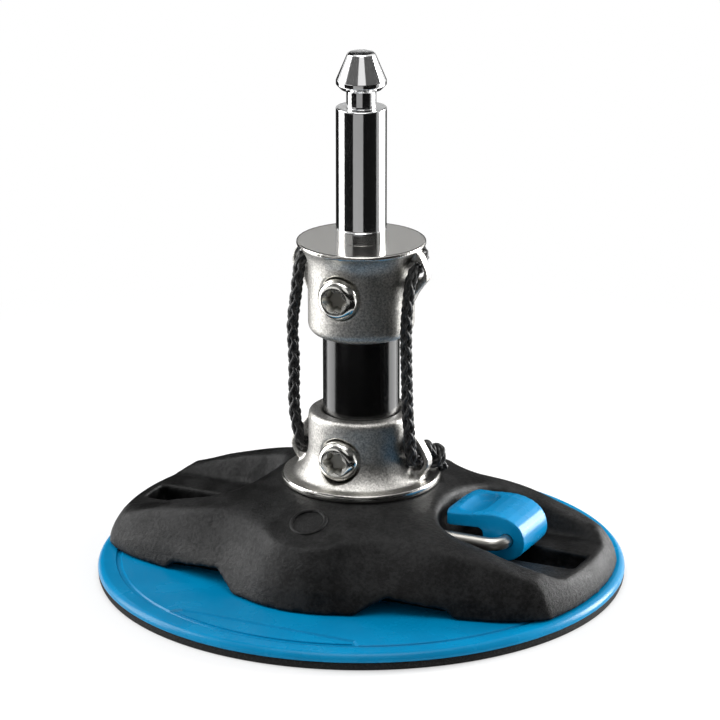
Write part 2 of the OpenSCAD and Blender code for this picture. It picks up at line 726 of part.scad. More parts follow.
// ---- Safety cord ----
// Route of the cord, from the knot at the right ear over the back of the upper cup to the left ear
cord_route = [
    [18.3, 3.4, 38.0], [18.3, 0.0, 38.0], [18.4, -2.8, 38.4], [18.5, -4.3, 40.6], [18.4, -4.6, 44.5],
    [17.8, -5.0, 52.0], [17.7, -5.4, 58.0], [17.6, -5.6, 65.0], [17.5, -5.8, 72.0], [17.5, -6.0, 79.0],
    [17.7, -5.8, 86.0], [18.1, -5.0, 92.5], [18.3, -3.6, 96.2], [18.3, -1.6, 97.6], [18.3, 0.8, 97.8],
    [17.9, 3.4, 98.2], [16.6, 7.6, 98.9], [13.6, 12.9, 99.3], [8.0, 17.4, 99.3], [0.0, 19.2, 99.3],
    [-8.0, 17.4, 99.3], [-13.6, 12.9, 99.3], [-16.6, 7.6, 98.9], [-17.9, 3.4, 98.2], [-18.3, 0.8, 97.8],
    [-18.3, -1.6, 97.6], [-18.4, -3.6, 96.0], [-18.7, -4.6, 92.0], [-19.3, -4.7, 86.5], [-20.3, -4.6, 80.0],
    [-20.7, -4.4, 74.0], [-20.4, -4.3, 68.0], [-20.3, -4.3, 61.0], [-20.4, -4.3, 54.0], [-20.0, -4.4, 48.5],
    [-19.0, -4.6, 44.0], [-18.4, -4.3, 40.6], [-18.3, -2.8, 38.4], [-18.3, 0.0, 38.0], [-18.3, 3.4, 38.0]];
cord_sides = 8;
c_last = len(cord_route) - 1;

// The route's points with one more between each two, on a smooth curve
function at(i) = cord_route[min(max(i, 0), c_last)];
function between(i) = (9 * (at(i) + at(i + 1)) - at(i - 1) - at(i + 2)) / 16;
cord_line = [for (i = [0 : 2 * c_last]) i % 2 == 0 ? at(i / 2) : between((i - 1) / 2)];
cord_n = len(cord_line);
function unit(v) = v / norm(v);
function heading(i) =
    unit(cord_line[min(i + 1, cord_n - 1)] - cord_line[max(i - 1, 0)]);
// A side direction carried along the route, so that the tube doesn't twist
function carried(side, i) = let (t = heading(i)) unit(side - (side * t) * t);
cord_sides_from = [1, 0, 0];
function side_list() = [for (i = 0, s = carried(cord_sides_from, 0); i < cord_n; i = i + 1,
                             s = carried(s, min(i, cord_n - 1))) s];

module safety_cord() {
    sides = side_list();
    tube_r = cord_d / 2;
    points = [for (i = [0 : cord_n - 1])
        let (t = (i == 0 || i == cord_n - 1) ? [0, i == 0 ? -1 : 1, 0] : heading(i),
             s = unit(sides[i] - (sides[i] * t) * t), u = cross(t, s))
        for (k = [0 : cord_sides - 1])
            cord_line[i] + tube_r * (cos(360 * k / cord_sides) * s + sin(360 * k / cord_sides) * u)];
    faces = concat(
        [[for (k = [0 : cord_sides - 1]) k]],
        [[for (k = [cord_sides - 1 : -1 : 0]) (cord_n - 1) * cord_sides + k]],
        [for (i = [0 : cord_n - 2]) for (k = [0 : cord_sides - 1]) for (half = [0, 1])
            let (a = i * cord_sides, b = a + cord_sides, j = (k + 1) % cord_sides)
            half == 0 ? [a + k, b + j, a + j] : [a + k, b + k, b + j]]);
    color([0.08, 0.08, 0.085]) polyhedron(points, faces, convexity = 8);
}

// A stopper knot: a loop round the cord's end and a second one across it, both sized by the cord
knot_loop_r = cord_d * 0.77;
// How far the knot's middle stands out past the hole, clear of the cup's wall
knot_out = 1.5;
module stopper_knot() {
    wr = cord_d / 2;
    first_y = cord_d * 1.11;
    second_y = cord_d * 1.77;
    rotate([-90, 0, 0]) cylinder(r = wr, h = first_y, $fn = 32);
    translate([knot_out, first_y, 0]) rotate([90, 0, 0]) rotate([0, 12, 0])
        rotate_extrude($fn = 40) translate([knot_loop_r, 0]) circle(r = wr, $fn = 20);
    translate([knot_out + wr * 0.23, second_y, wr * 0.34]) rotate([70, 25, 0])
        rotate_extrude($fn = 40) translate([knot_loop_r * 0.85, 0]) circle(r = wr, $fn = 20);
    translate([knot_out / 2, (first_y + second_y) / 2, 0]) sphere(r = wr * 1.5, $fn = 32);
}

module cord_knots() {
    color([0.08, 0.08, 0.085])
        both_sides() translate(cord_route[0]) stopper_knot();
}

// ---- Lever ----
cam_open = 100;
cam_gap = 0.15;
cam_r0 = eye_h - cam_gap;
function cam_r(a) = cam_r0 - cam_drop * a / cam_open;
// The cam from straight down round to the height of the eye, drawn about the eye
cam = [for (a = [0 : 10 : 90]) [cam_r(a) * sin(a), -cam_r(a) * cos(a)]];
// The lever's back from the cam over its ridge to its tip, and the finger recess under the tip
lever_back = [[5.3, 1.6], [4.7, 3.2], [3.7, 4.6], [2.2, 5.8], [0.2, 6.8], [-2.5, 7.5], [-5.3, 7.7], [-8.5, 7.5],
              [-12.5, 7.0]];
lever_under = [[-13.0, 3.0], [-8.6, 3.1], [-7.4, 2.4], [-7.2, 1.4], [-7.2, -cam_r0 + 2.2], [-6.7, -cam_r0 + 0.8],
               [-5.4, -cam_r0]];

module lever_profile() {
    r = lever_reach;
    polygon(concat([for (i = [0 : len(cam) - 1]) cam[i]], lever_back,
                   [[-r + 2.4, 6.7], [-r + 0.8, 6.2], [-r, 5.1], [-r, 3.6], [-r + 0.6, 2.9]], lever_under));
}

// The lever from above: the tip bows out by this much and has rounded corners
tip_bow = 2.6;
tip_corner = 3.4;
module lever_plan() {
    half = lever_w / 2;
    tip = eye_x - lever_reach;
    bow_r = (half * half + tip_bow * tip_bow) / 2 / tip_bow;
    intersection() {
        translate([tip + bow_r, 0]) circle(r = bow_r, $fn = 180);
        hull() {
            for (s = [-1, 1])
                translate([tip + tip_corner + 1, s * (half - tip_corner)]) circle(r = tip_corner, $fn = 40);
            translate([tip, -half / 2]) square([1, half]);
            translate([eye_x + 8, -cam_w / 2]) square([1, cam_w]);
        }
    }
}

// The scoop for a thumb: a short bar with round ends sunk into the lever's back
scoop_r = 7;
scoop_half = 4.4;
scoop_depth = 2;
scoop_in = 7.8;
lever_top = 7.6;
module lever() {
    color([0.0, 0.5, 0.76])
        difference() {
            intersection() {
                translate([eye_x, 0, eye_z]) slab_y(lever_w) lever_profile();
                linear_extrude(height = seat_z + 20) lever_plan();
            }
            rod_y(eye_x, eye_z, bail_r + run_gap, -lever_w, lever_w);
            scoop_x = eye_x - lever_reach + scoop_in;
            scoop_z = eye_z + lever_top + scoop_r - scoop_depth;
            rod_y(scoop_x, scoop_z, scoop_r, -scoop_half, scoop_half);
            for (s = [-1, 1]) translate([scoop_x, s * scoop_half, scoop_z]) sphere(r = scoop_r, $fn = 96);
        }
}

// ---- Bail ----
module bail_corner(x, y, a) {
    translate([x, y, eye_z]) rotate([0, 0, a])
        rotate_extrude(angle = 90) translate([bail_bend, 0]) circle(r = bail_r, $fn = 32);
}

bail_split = 1;
module bail() {
    y = bail_w / 2 - bail_bend;
    x_in = -pivot_x + bail_bend;
    x_out = eye_x - bail_bend;
    color([0.78, 0.78, 0.79]) {
        for (s = [-1, 1])
            translate([x_in, s * bail_w / 2, eye_z]) rotate([0, 90, 0])
                cylinder(r = bail_r, h = x_out - x_in, $fn = 32);
        rod_y(-pivot_x, eye_z, bail_r, -y, y);
        rod_y(eye_x, eye_z, bail_r, -y, -bail_split / 2);
        rod_y(eye_x, eye_z, bail_r, bail_split / 2, y);
        bail_corner(x_out, y, 0);
        bail_corner(x_in, y, 90);
        bail_corner(x_in, -y, 180);
        bail_corner(x_out, -y, 270);
    }
}

module bail_bushes() {
    color([0.85, 0.85, 0.82])
        for (s = [-1, 1])
            difference() {
                rod_y(-pivot_x, eye_z, bush_r, s * bush_y - bush_len / 2, s * bush_y + bush_len / 2);
                rod_y(-pivot_x, eye_z, bail_r + run_gap, s * bush_y - bush_len, s * bush_y + bush_len);
            }
}

// ---- Lift ----
// The yoke is clamped on the bail's legs and carries the stud that pulls the disc's middle up
washer_t = 1.5;
stud_nut_h = 5.6;
yoke_z = disc_top + washer_t + stud_nut_h + 0.3;
yoke_boss_h = 5.5;

module disc_stud() {
    color([0.7, 0.71, 0.73])
        union() {
            translate([0, 0, pad_t - stud_flange_t]) cylinder(r = stud_flange_d / 2, h = stud_flange_t);
            translate([0, 0, pad_t - 0.5]) cylinder(r = stud_d / 2, h = yoke_z + yoke_boss_h - pad_t + 0.5);
        }
}

module stud_washer() {
    color([0.72, 0.73, 0.75])
        translate([0, 0, disc_top])
            difference() {
                cylinder(r = stud_d * 1.1, h = washer_t);
                translate([0, 0, -1]) cylinder(r = stud_d / 2 + fit_gap, h = washer_t + 2);
            }
}

module stud_nut() {
    color([0.72, 0.73, 0.75])
        translate([0, 0, disc_top + washer_t])
            difference() {
                cylinder(r = stud_d * 0.94, h = stud_nut_h, $fn = 6);
                translate([0, 0, -1]) cylinder(r = stud_d / 2 + fit_gap, h = stud_nut_h + 2);
            }
}

module lift_yoke() {
    y = bail_w / 2;
    arm = bail_r + 1.9;
    color([0.65, 0.66, 0.68])
        difference() {
            union() {
                rotate([90, 0, 90])
                    linear_extrude(height = yoke_t, center = true)
                        polygon([[-y - arm, yoke_z + 4], [-y - arm + 4, yoke_z], [y + arm - 4, yoke_z],
                                 [y + arm, yoke_z + 4], [y + arm, eye_z + arm], [y - arm, eye_z + arm],
                                 [y - arm, yoke_z + yoke_boss_h], [-y + arm, yoke_z + yoke_boss_h],
                                 [-y + arm, eye_z + arm], [-y - arm, eye_z + arm]]);
                translate([0, 0, yoke_z]) cylinder(r = stud_d / 2 + 2.5, h = yoke_boss_h);
            }
            translate([0, 0, yoke_z - 1]) cylinder(r = stud_d / 2 + fit_gap, h = yoke_boss_h + 2);
            for (s = [-1, 1])
                translate([-yoke_t, s * y, eye_z]) rotate([0, 90, 0]) cylinder(r = bail_r + fit_gap, h = 2 * yoke_t);
        }
}

seal_pad();
suction_disc();
saddle();
saddle_screws();
clamp_plate();
cup_screws();
lower_cup();
cross_bolt(lower_bolt_z);  // lower_bolt
lock_nut(lower_bolt_z);  // lower_nut
tendon();
upper_cup();
cross_bolt(upper_bolt_z);  // upper_bolt
lock_nut(upper_bolt_z);  // upper_nut
mast_pin();
pin_screw();
safety_cord();
cord_knots();
lever();
bail();
bail_bushes();
lift_yoke();
disc_stud();
stud_washer();
stud_nut();
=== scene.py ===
# %% [markdown]
# # A mast foot on a suction disc
#
# The object joins a mast to a smooth board. From the floor up it is a foam ring, a blue disc, a black
# saddle that a lever pulls against the disc, a lower cup, a flexible tendon, an upper cup and a steel
# pin for the mast. A braided cord runs past the tendon from cup to cup, in case the tendon breaks.
#
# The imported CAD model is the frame: it holds every piece at its real size and the joints between them.
# This lesson gives each piece its finish, and models again the pieces whose surface the CAD keeps plain.

import json
from math import asin, atan2, cos, pi, radians, sin, tan

import bpy
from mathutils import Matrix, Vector


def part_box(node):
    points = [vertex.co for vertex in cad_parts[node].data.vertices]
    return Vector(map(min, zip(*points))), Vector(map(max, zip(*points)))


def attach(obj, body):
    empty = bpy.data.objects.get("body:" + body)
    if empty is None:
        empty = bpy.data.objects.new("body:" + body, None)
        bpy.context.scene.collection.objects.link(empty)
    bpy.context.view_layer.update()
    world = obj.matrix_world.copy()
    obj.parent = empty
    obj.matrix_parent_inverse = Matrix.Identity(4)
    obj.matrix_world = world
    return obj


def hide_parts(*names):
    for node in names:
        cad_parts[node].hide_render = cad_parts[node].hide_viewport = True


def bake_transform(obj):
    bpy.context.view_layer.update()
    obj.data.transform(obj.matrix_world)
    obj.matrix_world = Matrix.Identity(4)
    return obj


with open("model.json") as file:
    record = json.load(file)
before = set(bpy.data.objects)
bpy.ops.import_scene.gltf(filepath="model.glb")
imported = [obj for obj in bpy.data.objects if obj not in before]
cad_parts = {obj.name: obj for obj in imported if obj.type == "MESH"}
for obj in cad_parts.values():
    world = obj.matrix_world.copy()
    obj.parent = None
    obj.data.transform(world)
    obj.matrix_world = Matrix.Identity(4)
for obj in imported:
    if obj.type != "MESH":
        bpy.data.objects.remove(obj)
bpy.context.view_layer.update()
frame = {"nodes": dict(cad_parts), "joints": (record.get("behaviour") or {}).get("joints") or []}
nodes = frame["nodes"]
MM = 0.001

# %% [markdown]
# ## Heights that everything else follows
#
# A real maker would read these off the drawing.

# %% Read the main heights and radii
pad_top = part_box("seal_pad")[1].z
disc_low, disc_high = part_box("suction_disc")
lower_low, lower_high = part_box("lower_cup")
upper_low, upper_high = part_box("upper_cup")
pin_low, pin_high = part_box("mast_pin")
tendon_low, tendon_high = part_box("tendon")
joints = {joint["name"]: joint for joint in frame["joints"]}
bend_z = joints["tendon_tilt_x"]["pos_m"][2]
disc_r = disc_high.x
tendon_r = tendon_high.x
print("disc radius", round(disc_r / MM, 2), "mm, tendon bends at", round(bend_z / MM, 2), "mm")


def middle_z(node):
    """Height of a CAD node's middle."""
    low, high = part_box(node)
    return (low.z + high.z) / 2


# %% [markdown]
# ## The camera
#
# A long lens from about a metre away keeps the verticals nearly parallel, which is how small products
# are usually shown. The camera stands a quarter of the way round to the lever's side and looks down a
# little, so that the disc is seen as a flat ellipse and both cups are seen from the front. Turns round
# the object are given in degrees from the front (-Y) towards the right (+X) all through this lesson.

# %% Set the camera
camera_side = 25.5
camera_turn = radians(camera_side)
camera_pitch = radians(18.17)
camera_away = 1.05
camera_height = 0.4115
lens = bpy.data.cameras.new("camera")
lens.lens = 184.75
lens.shift_x = -0.0018
lens.clip_start = 0.05
camera = bpy.data.objects.new("camera", lens)
camera.location = (camera_away * sin(camera_turn), -camera_away * cos(camera_turn), camera_height)
camera.rotation_euler = (pi / 2 - camera_pitch, 0, camera_turn)
bpy.context.scene.collection.objects.link(camera)
bpy.context.scene.camera = camera
print("camera at", [round(v, 3) for v in camera.location])

# %% [markdown]
# ## Hands for the workshop
#
# Blender's operators act on what is selected, and after the import all of the CAD nodes are. So every
# step starts by letting go of everything and picking one object. These few helpers are the hands that
# the rest of the lesson works with.

# %% Pick, edit and modify
def let_go():
    bpy.ops.object.select_all(action="DESELECT")


def pick(obj):
    let_go()
    obj.select_set(True)
    bpy.context.view_layer.objects.active = obj


def start_edit(obj):
    pick(obj)
    bpy.ops.object.mode_set(mode="EDIT")
    bpy.ops.mesh.select_all(action="SELECT")


def end_edit():
    bpy.ops.object.mode_set(mode="OBJECT")


def modify(obj, kind, **settings):
    """Adds a modifier and applies it at once."""
    pick(obj)
    modifier = obj.modifiers.new(kind.lower(), kind)
    for name, value in settings.items():
        setattr(modifier, name, value)
    bpy.ops.object.modifier_apply(modifier=modifier.name)


def tidy(obj, angle=35):
    """Joins doubled points, turns faces outwards and shades curved stretches smoothly."""
    start_edit(obj)
    bpy.ops.mesh.remove_doubles(threshold=1e-6)
    bpy.ops.mesh.normals_make_consistent(inside=False)
    end_edit()
    bpy.ops.object.shade_smooth_by_angle(angle=radians(angle))


def even_shading(obj):
    """Lets the large faces set the shading, so that reflections run straight along flats and walls."""
    modify(obj, "WEIGHTED_NORMAL", keep_sharp=True)


def settle(obj):
    """Puts an object's place into its mesh, as the CAD nodes have it."""
    pick(obj)
    bpy.ops.object.transform_apply(location=True, rotation=True, scale=True)


def cut(obj, cutter):
    """Takes the cutter's shape out of an object, and the cutter out of the scene."""
    modify(obj, "BOOLEAN", operation="DIFFERENCE", object=cutter, solver="EXACT")
    bpy.data.objects.remove(cutter)


def tell(obj):
    print(obj.name, len(obj.data.polygons), "faces")


# %% [markdown]
# ## Copies with soft edges
#
# A moulding or a casting has no sharp edges: its corners are rounded by half a millimetre or so, and
# that thin rounding is what catches the light. A bevel on the CAD mesh would stumble over its long thin
# triangles, so the copy is rebuilt from small cubes, a voxel remesh, and then relaxed a few times. The
# voxel is about as large as the rounding of the real edge.

# %% Make soft copies of CAD nodes
def joined_copy(node, name):
    """A copy of a CAD node with its loose triangles joined."""
    obj = bpy.data.objects.new(name, nodes[node].data.copy())
    bpy.context.scene.collection.objects.link(obj)
    obj.data.materials.clear()
    start_edit(obj)
    bpy.ops.mesh.customdata_custom_splitnormals_clear()
    bpy.ops.mesh.remove_doubles(threshold=1e-6)
    end_edit()
    return obj


def soften(node, name, voxel, rounds):
    """A copy of a CAD node with soft edges, which takes the node's place."""
    obj = joined_copy(node, name)
    modify(obj, "REMESH", mode="VOXEL", voxel_size=voxel, use_smooth_shade=True)
    modify(obj, "SMOOTH", factor=0.5, iterations=rounds)
    pick(obj)
    bpy.ops.object.shade_smooth()
    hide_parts(node)
    tell(obj)
    return obj


# %% [markdown]
# ## Turned pieces
#
# Discs, rings and pins are turned on a lathe: one outline goes round an axis. The outline is drawn here
# as a hand would draw it, one extruded point after another, and then spun. Corners are given with a
# radius, because a turned edge is always broken by a small chamfer or round.

# %% Draw an outline and spin it
def rounded(corners, steps=5):
    """Outline through (radius, height, rounding) corners, each rounding drawn as an arc."""
    points = []
    for i, (r, z, rounding) in enumerate(corners):
        here = Vector((r, z))
        if rounding == 0 or i in (0, len(corners) - 1):
            points.append(here)
            continue
        back = (Vector(corners[i - 1][:2]) - here).normalized()
        ahead = (Vector(corners[i + 1][:2]) - here).normalized()
        half = back.angle(ahead) / 2
        reach = rounding / abs(sin(half) / cos(half))
        centre = here + (back + ahead).normalized() * rounding / sin(half)
        first = here + back * reach - centre
        last = here + ahead * reach - centre
        sweep = first.angle_signed(last)
        for k in range(steps + 1):
            a = -sweep * k / steps
            points.append(centre + Vector((first.x * cos(a) - first.y * sin(a),
                                           first.x * sin(a) + first.y * cos(a))))
    return points


def lathe(name, outline, steps, start=0, sweep=360):
    """Draws an outline of (radius, height) points and spins it round the upright axis."""
    let_go()
    bpy.ops.mesh.primitive_plane_add(size=MM, location=(0, 0, 0))
    obj = bpy.context.object
    obj.name = name
    bpy.ops.object.mode_set(mode="EDIT")
    bpy.ops.mesh.merge(type="CENTER")
    here, a = Vector(), radians(start)
    for i, (r, z) in enumerate(outline):
        step = Vector((r * sin(a), -r * cos(a), z)) - here
        if i == 0:
            bpy.ops.transform.translate(value=step)
        else:
            bpy.ops.mesh.extrude_region_move(TRANSFORM_OT_translate={"value": step})
        here += step
    bpy.ops.mesh.select_all(action="SELECT")
    bpy.ops.mesh.spin(steps=steps, angle=-radians(sweep), center=(0, 0, 0), axis=(0, 0, 1))
    end_edit()
    tidy(obj)
    tell(obj)
    return obj


# %% [markdown]
# ## Shader sums
#
# A finish is a network of small sums: a noise times a strength plus a base value. Written out node by
# node it is long, so one class wraps a node's output and lets Python's own signs add the Math nodes, and
# another makes every other kind of node with one method.

# %% A value that can be added and multiplied
class Value:
    """One output of a node. Sums and products with it add Math nodes."""

    def __init__(self, network, socket):
        self.network = network
        self.socket = socket

    def math(self, operation, a, b):
        """A Math node on two values, of which one is this one."""
        return self.network.node("Math", {"operation": operation}, {0: a, 1: b})

    def __add__(self, other):
        return self.math("ADD", self, other)

    def __sub__(self, other):
        return self.math("SUBTRACT", self, other)

    def __rsub__(self, other):
        return self.math("SUBTRACT", other, self)

    def __mul__(self, other):
        return self.math("MULTIPLY", self, other)

    def __pow__(self, other):
        return self.math("POWER", self, other)

    __radd__ = __add__
    __rmul__ = __mul__

    def step(self, low, high):
        """0 below low, 1 above high, and a smooth rise between them."""
        settings = {"interpolation_type": "SMOOTHSTEP"}
        return self.network.node("MapRange", settings, {"Value": self, "From Min": low, "From Max": high})


# %% A network of nodes
class Network:
    """The node tree of a material or of the world."""

    def __init__(self, tree):
        self.tree = tree

    def put(self, node, values):
        """Gives a node's sockets their values, and links those that are outputs of other nodes."""
        for key, value in values.items():
            socket = node.inputs[key]
            if isinstance(value, Value):
                self.tree.links.new(value.socket, socket)
            elif socket.type == "RGBA":
                socket.default_value = (*value, 1)
            else:
                socket.default_value = value

    def node(self, kind, settings=None, values=None, output=0):
        """Adds a node: its settings first, then the values or links of its sockets."""
        node = self.tree.nodes.new("ShaderNode" + kind)
        for key, value in (settings or {}).items():
            setattr(node, key, value)
        self.put(node, values or {})
        return Value(self, node.outputs[output])

    def direct_view(self):
        """1 for what the lens, mirrors and clear pieces see, and 0 for soft light."""
        seen = self.node("LightPath", output="Is Camera Ray")
        for kind in ("Is Glossy Ray", "Is Transmission Ray"):
            ray = self.node("LightPath", output=kind)
            seen = self.node("Math", {"operation": "MAXIMUM"}, {0: seen, 1: ray})
        return seen


# %% [markdown]
# ## Finishes
#
# Each finish starts from one Principled shader. Values that are the same all over are set on its own
# sockets, and only what changes over the surface is linked, so the plain colour and roughness that a
# finish starts with are only its mean. All patterns but the cord's read Object coordinates in metres, so
# a scale of 1000 makes a noise of about one millimetre, and the pattern stays put when the piece moves.

# %% A finish and its nodes
class Finish(Network):
    """A material: one Principled shader and the nodes that vary it."""

    def __init__(self, name, colour, roughness, **sockets):
        self.material = bpy.data.materials.new(name)
        self.material.use_nodes = True
        super().__init__(self.material.node_tree)
        self.surface = self.tree.nodes["Principled BSDF"]
        self.vary(Base_Color=colour, Roughness=roughness, **sockets)
        self.place = self.node("TexCoord", output="Object")
        print("finish", name)

    def vary(self, **values):
        """Sets or links sockets of the shader. An underscore stands for a space in a socket's name."""
        self.put(self.surface, {key.replace("_", " "): value for key, value in values.items()})

    def noise(self, size, detail, rough=0.5, stretch=(1, 1, 1)):
        """Noise from 0 to 1 whose lumps are about size metres across."""
        place = self.place
        if stretch != (1, 1, 1):
            place = self.node("Mapping", {}, {"Vector": place, "Scale": stretch})
        values = {"Vector": place, "Scale": 1 / size, "Detail": detail, "Roughness": rough}
        return self.node("TexNoise", {}, values)

    def mix(self, factor, a, b):
        """A colour between a and b."""
        return self.node("Mix", {"data_type": "RGBA"}, {0: factor, 6: a, 7: b}, output=2)

    def axis(self, letter):
        """One coordinate of the surface point, in metres."""
        return self.node("SeparateXYZ", {}, {0: self.place}, output=letter)

    def radius(self):
        """Distance from the upright axis, in metres."""
        return (self.axis("X") ** 2 + self.axis("Y") ** 2) ** 0.5

    def bump(self, height, depth):
        """Raises the surface by height, where 1 stands depth metres proud."""
        bump = self.node("Bump", {}, {"Height": height, "Strength": 1.0, "Distance": depth})
        self.put(self.surface, {"Normal": bump})


def finish_piece(obj, finish):
    """Gives a piece its material."""
    obj.data.materials.clear()
    obj.data.materials.append(finish.material)


def grey(shade):
    return (shade, shade, shade)


# %% [markdown]
# ## Glass-filled nylon
#
# The saddle is moulded in black nylon filled with short glass fibres. Where the fibres lie near the skin
# they show as a fine grey mottle, so the walls look cloudy rather than plain black. Three noises of
# different size and stretch lighten the colour, the largest and the smallest of them also vary the
# shine, and a fine bump gives the spark-eroded grain.

# %% Nylon of the saddle
nylon = Finish("black_nylon", grey(0.006), 0.5, Specular_IOR_Level=0.16)
cloud = nylon.noise(11 * MM, 4, 0.62)
fibre = nylon.noise(1.1 * MM, 5, 0.72)
flow = nylon.noise(5 * MM, 3, 0.6, stretch=(1, 1, 0.25))
mottle = cloud * 0.3 + flow * 0.25 + fibre * 0.55
nylon.vary(Base_Color=nylon.mix(mottle.step(0.45, 0.66), grey(0.001), grey(0.013)),
           Roughness=0.52 + 0.2 * cloud.step(0.3, 0.7) - 0.4 * fibre)
nylon.bump(fibre + 0.35 * nylon.noise(0.22 * MM, 2), 0.22 * MM)

# %% [markdown]
# ## Blue moulding
#
# The disc and the lever are moulded in the same blue. A faint cloudiness in the colour and the shine
# keeps both from looking like paint. The disc has a fine grain, and the lever the longer, softer waves
# of a polished mould.

# %% Blue of the disc and of the lever
disc_blue = Finish("blue_satin", (0.0, 0.19, 0.40), 0.3, Specular_IOR_Level=0.16)
haze = disc_blue.noise(14 * MM, 3)
disc_blue.vary(Base_Color=disc_blue.mix(haze.step(0.3, 0.75), (0.0, 0.183, 0.38), (0.0, 0.212, 0.43)),
               Roughness=0.22 + 0.1 * haze)
disc_blue.bump(disc_blue.noise(0.35 * MM, 3), 0.012 * MM)

lever_blue = Finish("blue_gloss", (0.0, 0.2, 0.43), 0.26, Specular_IOR_Level=0.17)
swirl = lever_blue.noise(6 * MM, 3)
lever_blue.vary(Base_Color=lever_blue.mix(swirl.step(0.3, 0.8), (0.0, 0.19, 0.41), (0.0, 0.22, 0.47)),
                Roughness=0.22 + 0.1 * swirl)
lever_blue.bump(lever_blue.noise(1.5 * MM, 2), 0.02 * MM)

# %% [markdown]
# ## Foam
#
# Closed-cell foam is black and full of pores of a few tenths of a millimetre. A Voronoi texture makes the
# pores and a noise makes the broken skin between them.

# %% Black foam
foam = Finish("black_foam", grey(0.008), 0.85, Specular_IOR_Level=0.3)
pore = foam.node("TexVoronoi", {}, {"Vector": foam.place, "Scale": 1 / (0.6 * MM)}, output="Distance")
skin = foam.noise(0.5 * MM, 4, 0.65)
foam.vary(Base_Color=foam.mix(skin.step(0.45, 0.8), grey(0.004), grey(0.03)))
foam.bump(pore * 0.7 + skin, 0.16 * MM)

# %% [markdown]
# ## Blasted casting
#
# Both cups are cast in stainless steel, blasted with fine beads and left that way, and only the edges
# that were turned afterwards shine. The blasting is a dense grain of a few tenths of a millimetre. The
# turned parts are the flange of the lower cup and the plate of the upper one, so a mask built from the
# height takes the grain away there.

# %% Cast steel, with a mask for turned stretches
def cast_finish(name, turned):
    """Blasted cast steel. The function turned makes a mask: 1 where the casting was turned smooth."""
    finish = Finish(name, grey(0.46), 0.4, Metallic=1.0)
    mask = turned(finish)
    grain = finish.noise(0.6 * MM, 4, 0.75)
    lump = finish.noise(3.2 * MM, 3, 0.6)
    blotch = finish.noise(9 * MM, 3)
    shade = (grain.step(0.34, 0.68) * 0.75 + blotch * 0.25) * (1 - mask) + 0.7 * mask
    finish.vary(Base_Color=finish.mix(shade, (0.22, 0.213, 0.2), (0.72, 0.705, 0.67)),
                Roughness=(0.27 + 0.14 * grain + 0.08 * blotch) * (1 - mask) + 0.18 * mask)
    finish.bump((grain * 0.8 + lump * 0.5) * (1 - mask), 0.15 * MM)
    return finish


turned_fade = 0.5 * MM
flange_top = lower_low.z + 2.5 * MM
plate_under = upper_high.z - 1.6 * MM
lower_cast = cast_finish(
    "cast_lower", lambda finish: 1 - finish.axis("Z").step(flange_top - turned_fade, flange_top))
upper_cast = cast_finish(
    "cast_upper", lambda finish: finish.axis("Z").step(plate_under, plate_under + turned_fade))

# %% [markdown]
# ## Polished and drawn steel
#
# The mast pin is ground and polished, so it mirrors the room in upright bands, broken by the faintest
# rings from the grinding wheel. The bolts and nuts are tumbled, with soft lumps in their shine, and the
# bail is drawn wire with fine lines along it.

# %% Steel finishes
ground = Finish("ground_steel", grey(0.78), 0.13, Metallic=1.0)
rings = ground.noise(0.16 * MM, 3, 0.6, stretch=(0.03, 0.03, 1))
wear = ground.noise(6 * MM, 3)
ground.vary(Roughness=0.04 + 0.05 * rings + 0.05 * wear)
ground.bump(rings, 0.002 * MM)

recess_r = 3.9 * MM
recess_deep = 2.4 * MM


def tumbled_finish(name, bolt_node=None):
    """Tumbled steel. The recess of the bolt, if it is one, is matt, with painted shade that darkens it
    towards its floor.
    """
    finish = Finish(name, grey(0.68), 0.2, Metallic=1.0)
    dimple = finish.noise(1.4 * MM, 3)
    matt = 0
    if bolt_node:
        from_axis = (finish.axis("X") ** 2 + (finish.axis("Z") - middle_z(bolt_node)) ** 2) ** 0.5
        inside = 1 - from_axis.step(recess_r - 0.1 * MM, recess_r + 0.1 * MM)
        depth = finish.axis("Y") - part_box(bolt_node)[0].y
        matt = inside * depth.step(0.1 * MM, 0.4 * MM)
        # Painted shade: the recess's colour darkens towards its floor, standing in for the shadow that
        # falls inside it.
        painted_recess_shade = inside * depth.step(0.3 * recess_deep, recess_deep)
        finish.vary(Base_Color=finish.mix(painted_recess_shade, (0.74, 0.73, 0.69), (0.26, 0.25, 0.225)))
    finish.vary(Roughness=0.08 + 0.14 * dimple + 0.2 * matt)
    finish.bump(dimple, 0.008 * MM)
    return finish


drawn = Finish("drawn_wire", (0.62, 0.6, 0.56), 0.3, Metallic=1.0)
lines = drawn.noise(0.3 * MM, 3, 0.6, stretch=(0.06, 1, 1))
drawn.vary(Roughness=0.24 + 0.18 * lines)
drawn.bump(lines, 0.02 * MM)

plain_steel = Finish("plain_steel", grey(0.55), 0.36, Metallic=1.0)
stain = plain_steel.noise(4 * MM, 4)
plain_steel.vary(Base_Color=plain_steel.mix(stain.step(0.35, 0.75), grey(0.42), grey(0.6)),
                 Roughness=0.3 + 0.2 * stain)
plain_steel.bump(plain_steel.noise(0.4 * MM, 2), 0.01 * MM)

# %% [markdown]
# ## Urethane, acetal and cord
#
# The tendon is poured urethane with a wet-looking black skin. The bushes are natural white acetal, a
# little waxy. The cord is braided from dark yarn whose single threads show as fine lines along each
# strand, and that pattern follows the strand, so it reads the piece's own UV map: metres along the strand
# and turns round it. Between the strands the darker core shows.

# %% Tendon, bushes and yarn
urethane = Finish("black_urethane", grey(0.002), 0.14, Specular_IOR_Level=0.7)
pour = urethane.noise(9 * MM, 2)
urethane.vary(Roughness=0.1 + 0.12 * pour)
urethane.bump(pour, 0.03 * MM)

acetal = Finish("white_acetal", (0.75, 0.75, 0.71), 0.4, Subsurface_Weight=0.1)
wax = acetal.noise(3 * MM, 2)
acetal.vary(Base_Color=acetal.mix(wax, (0.70, 0.70, 0.66), (0.8, 0.8, 0.77)),
            Roughness=0.34 + 0.12 * wax)

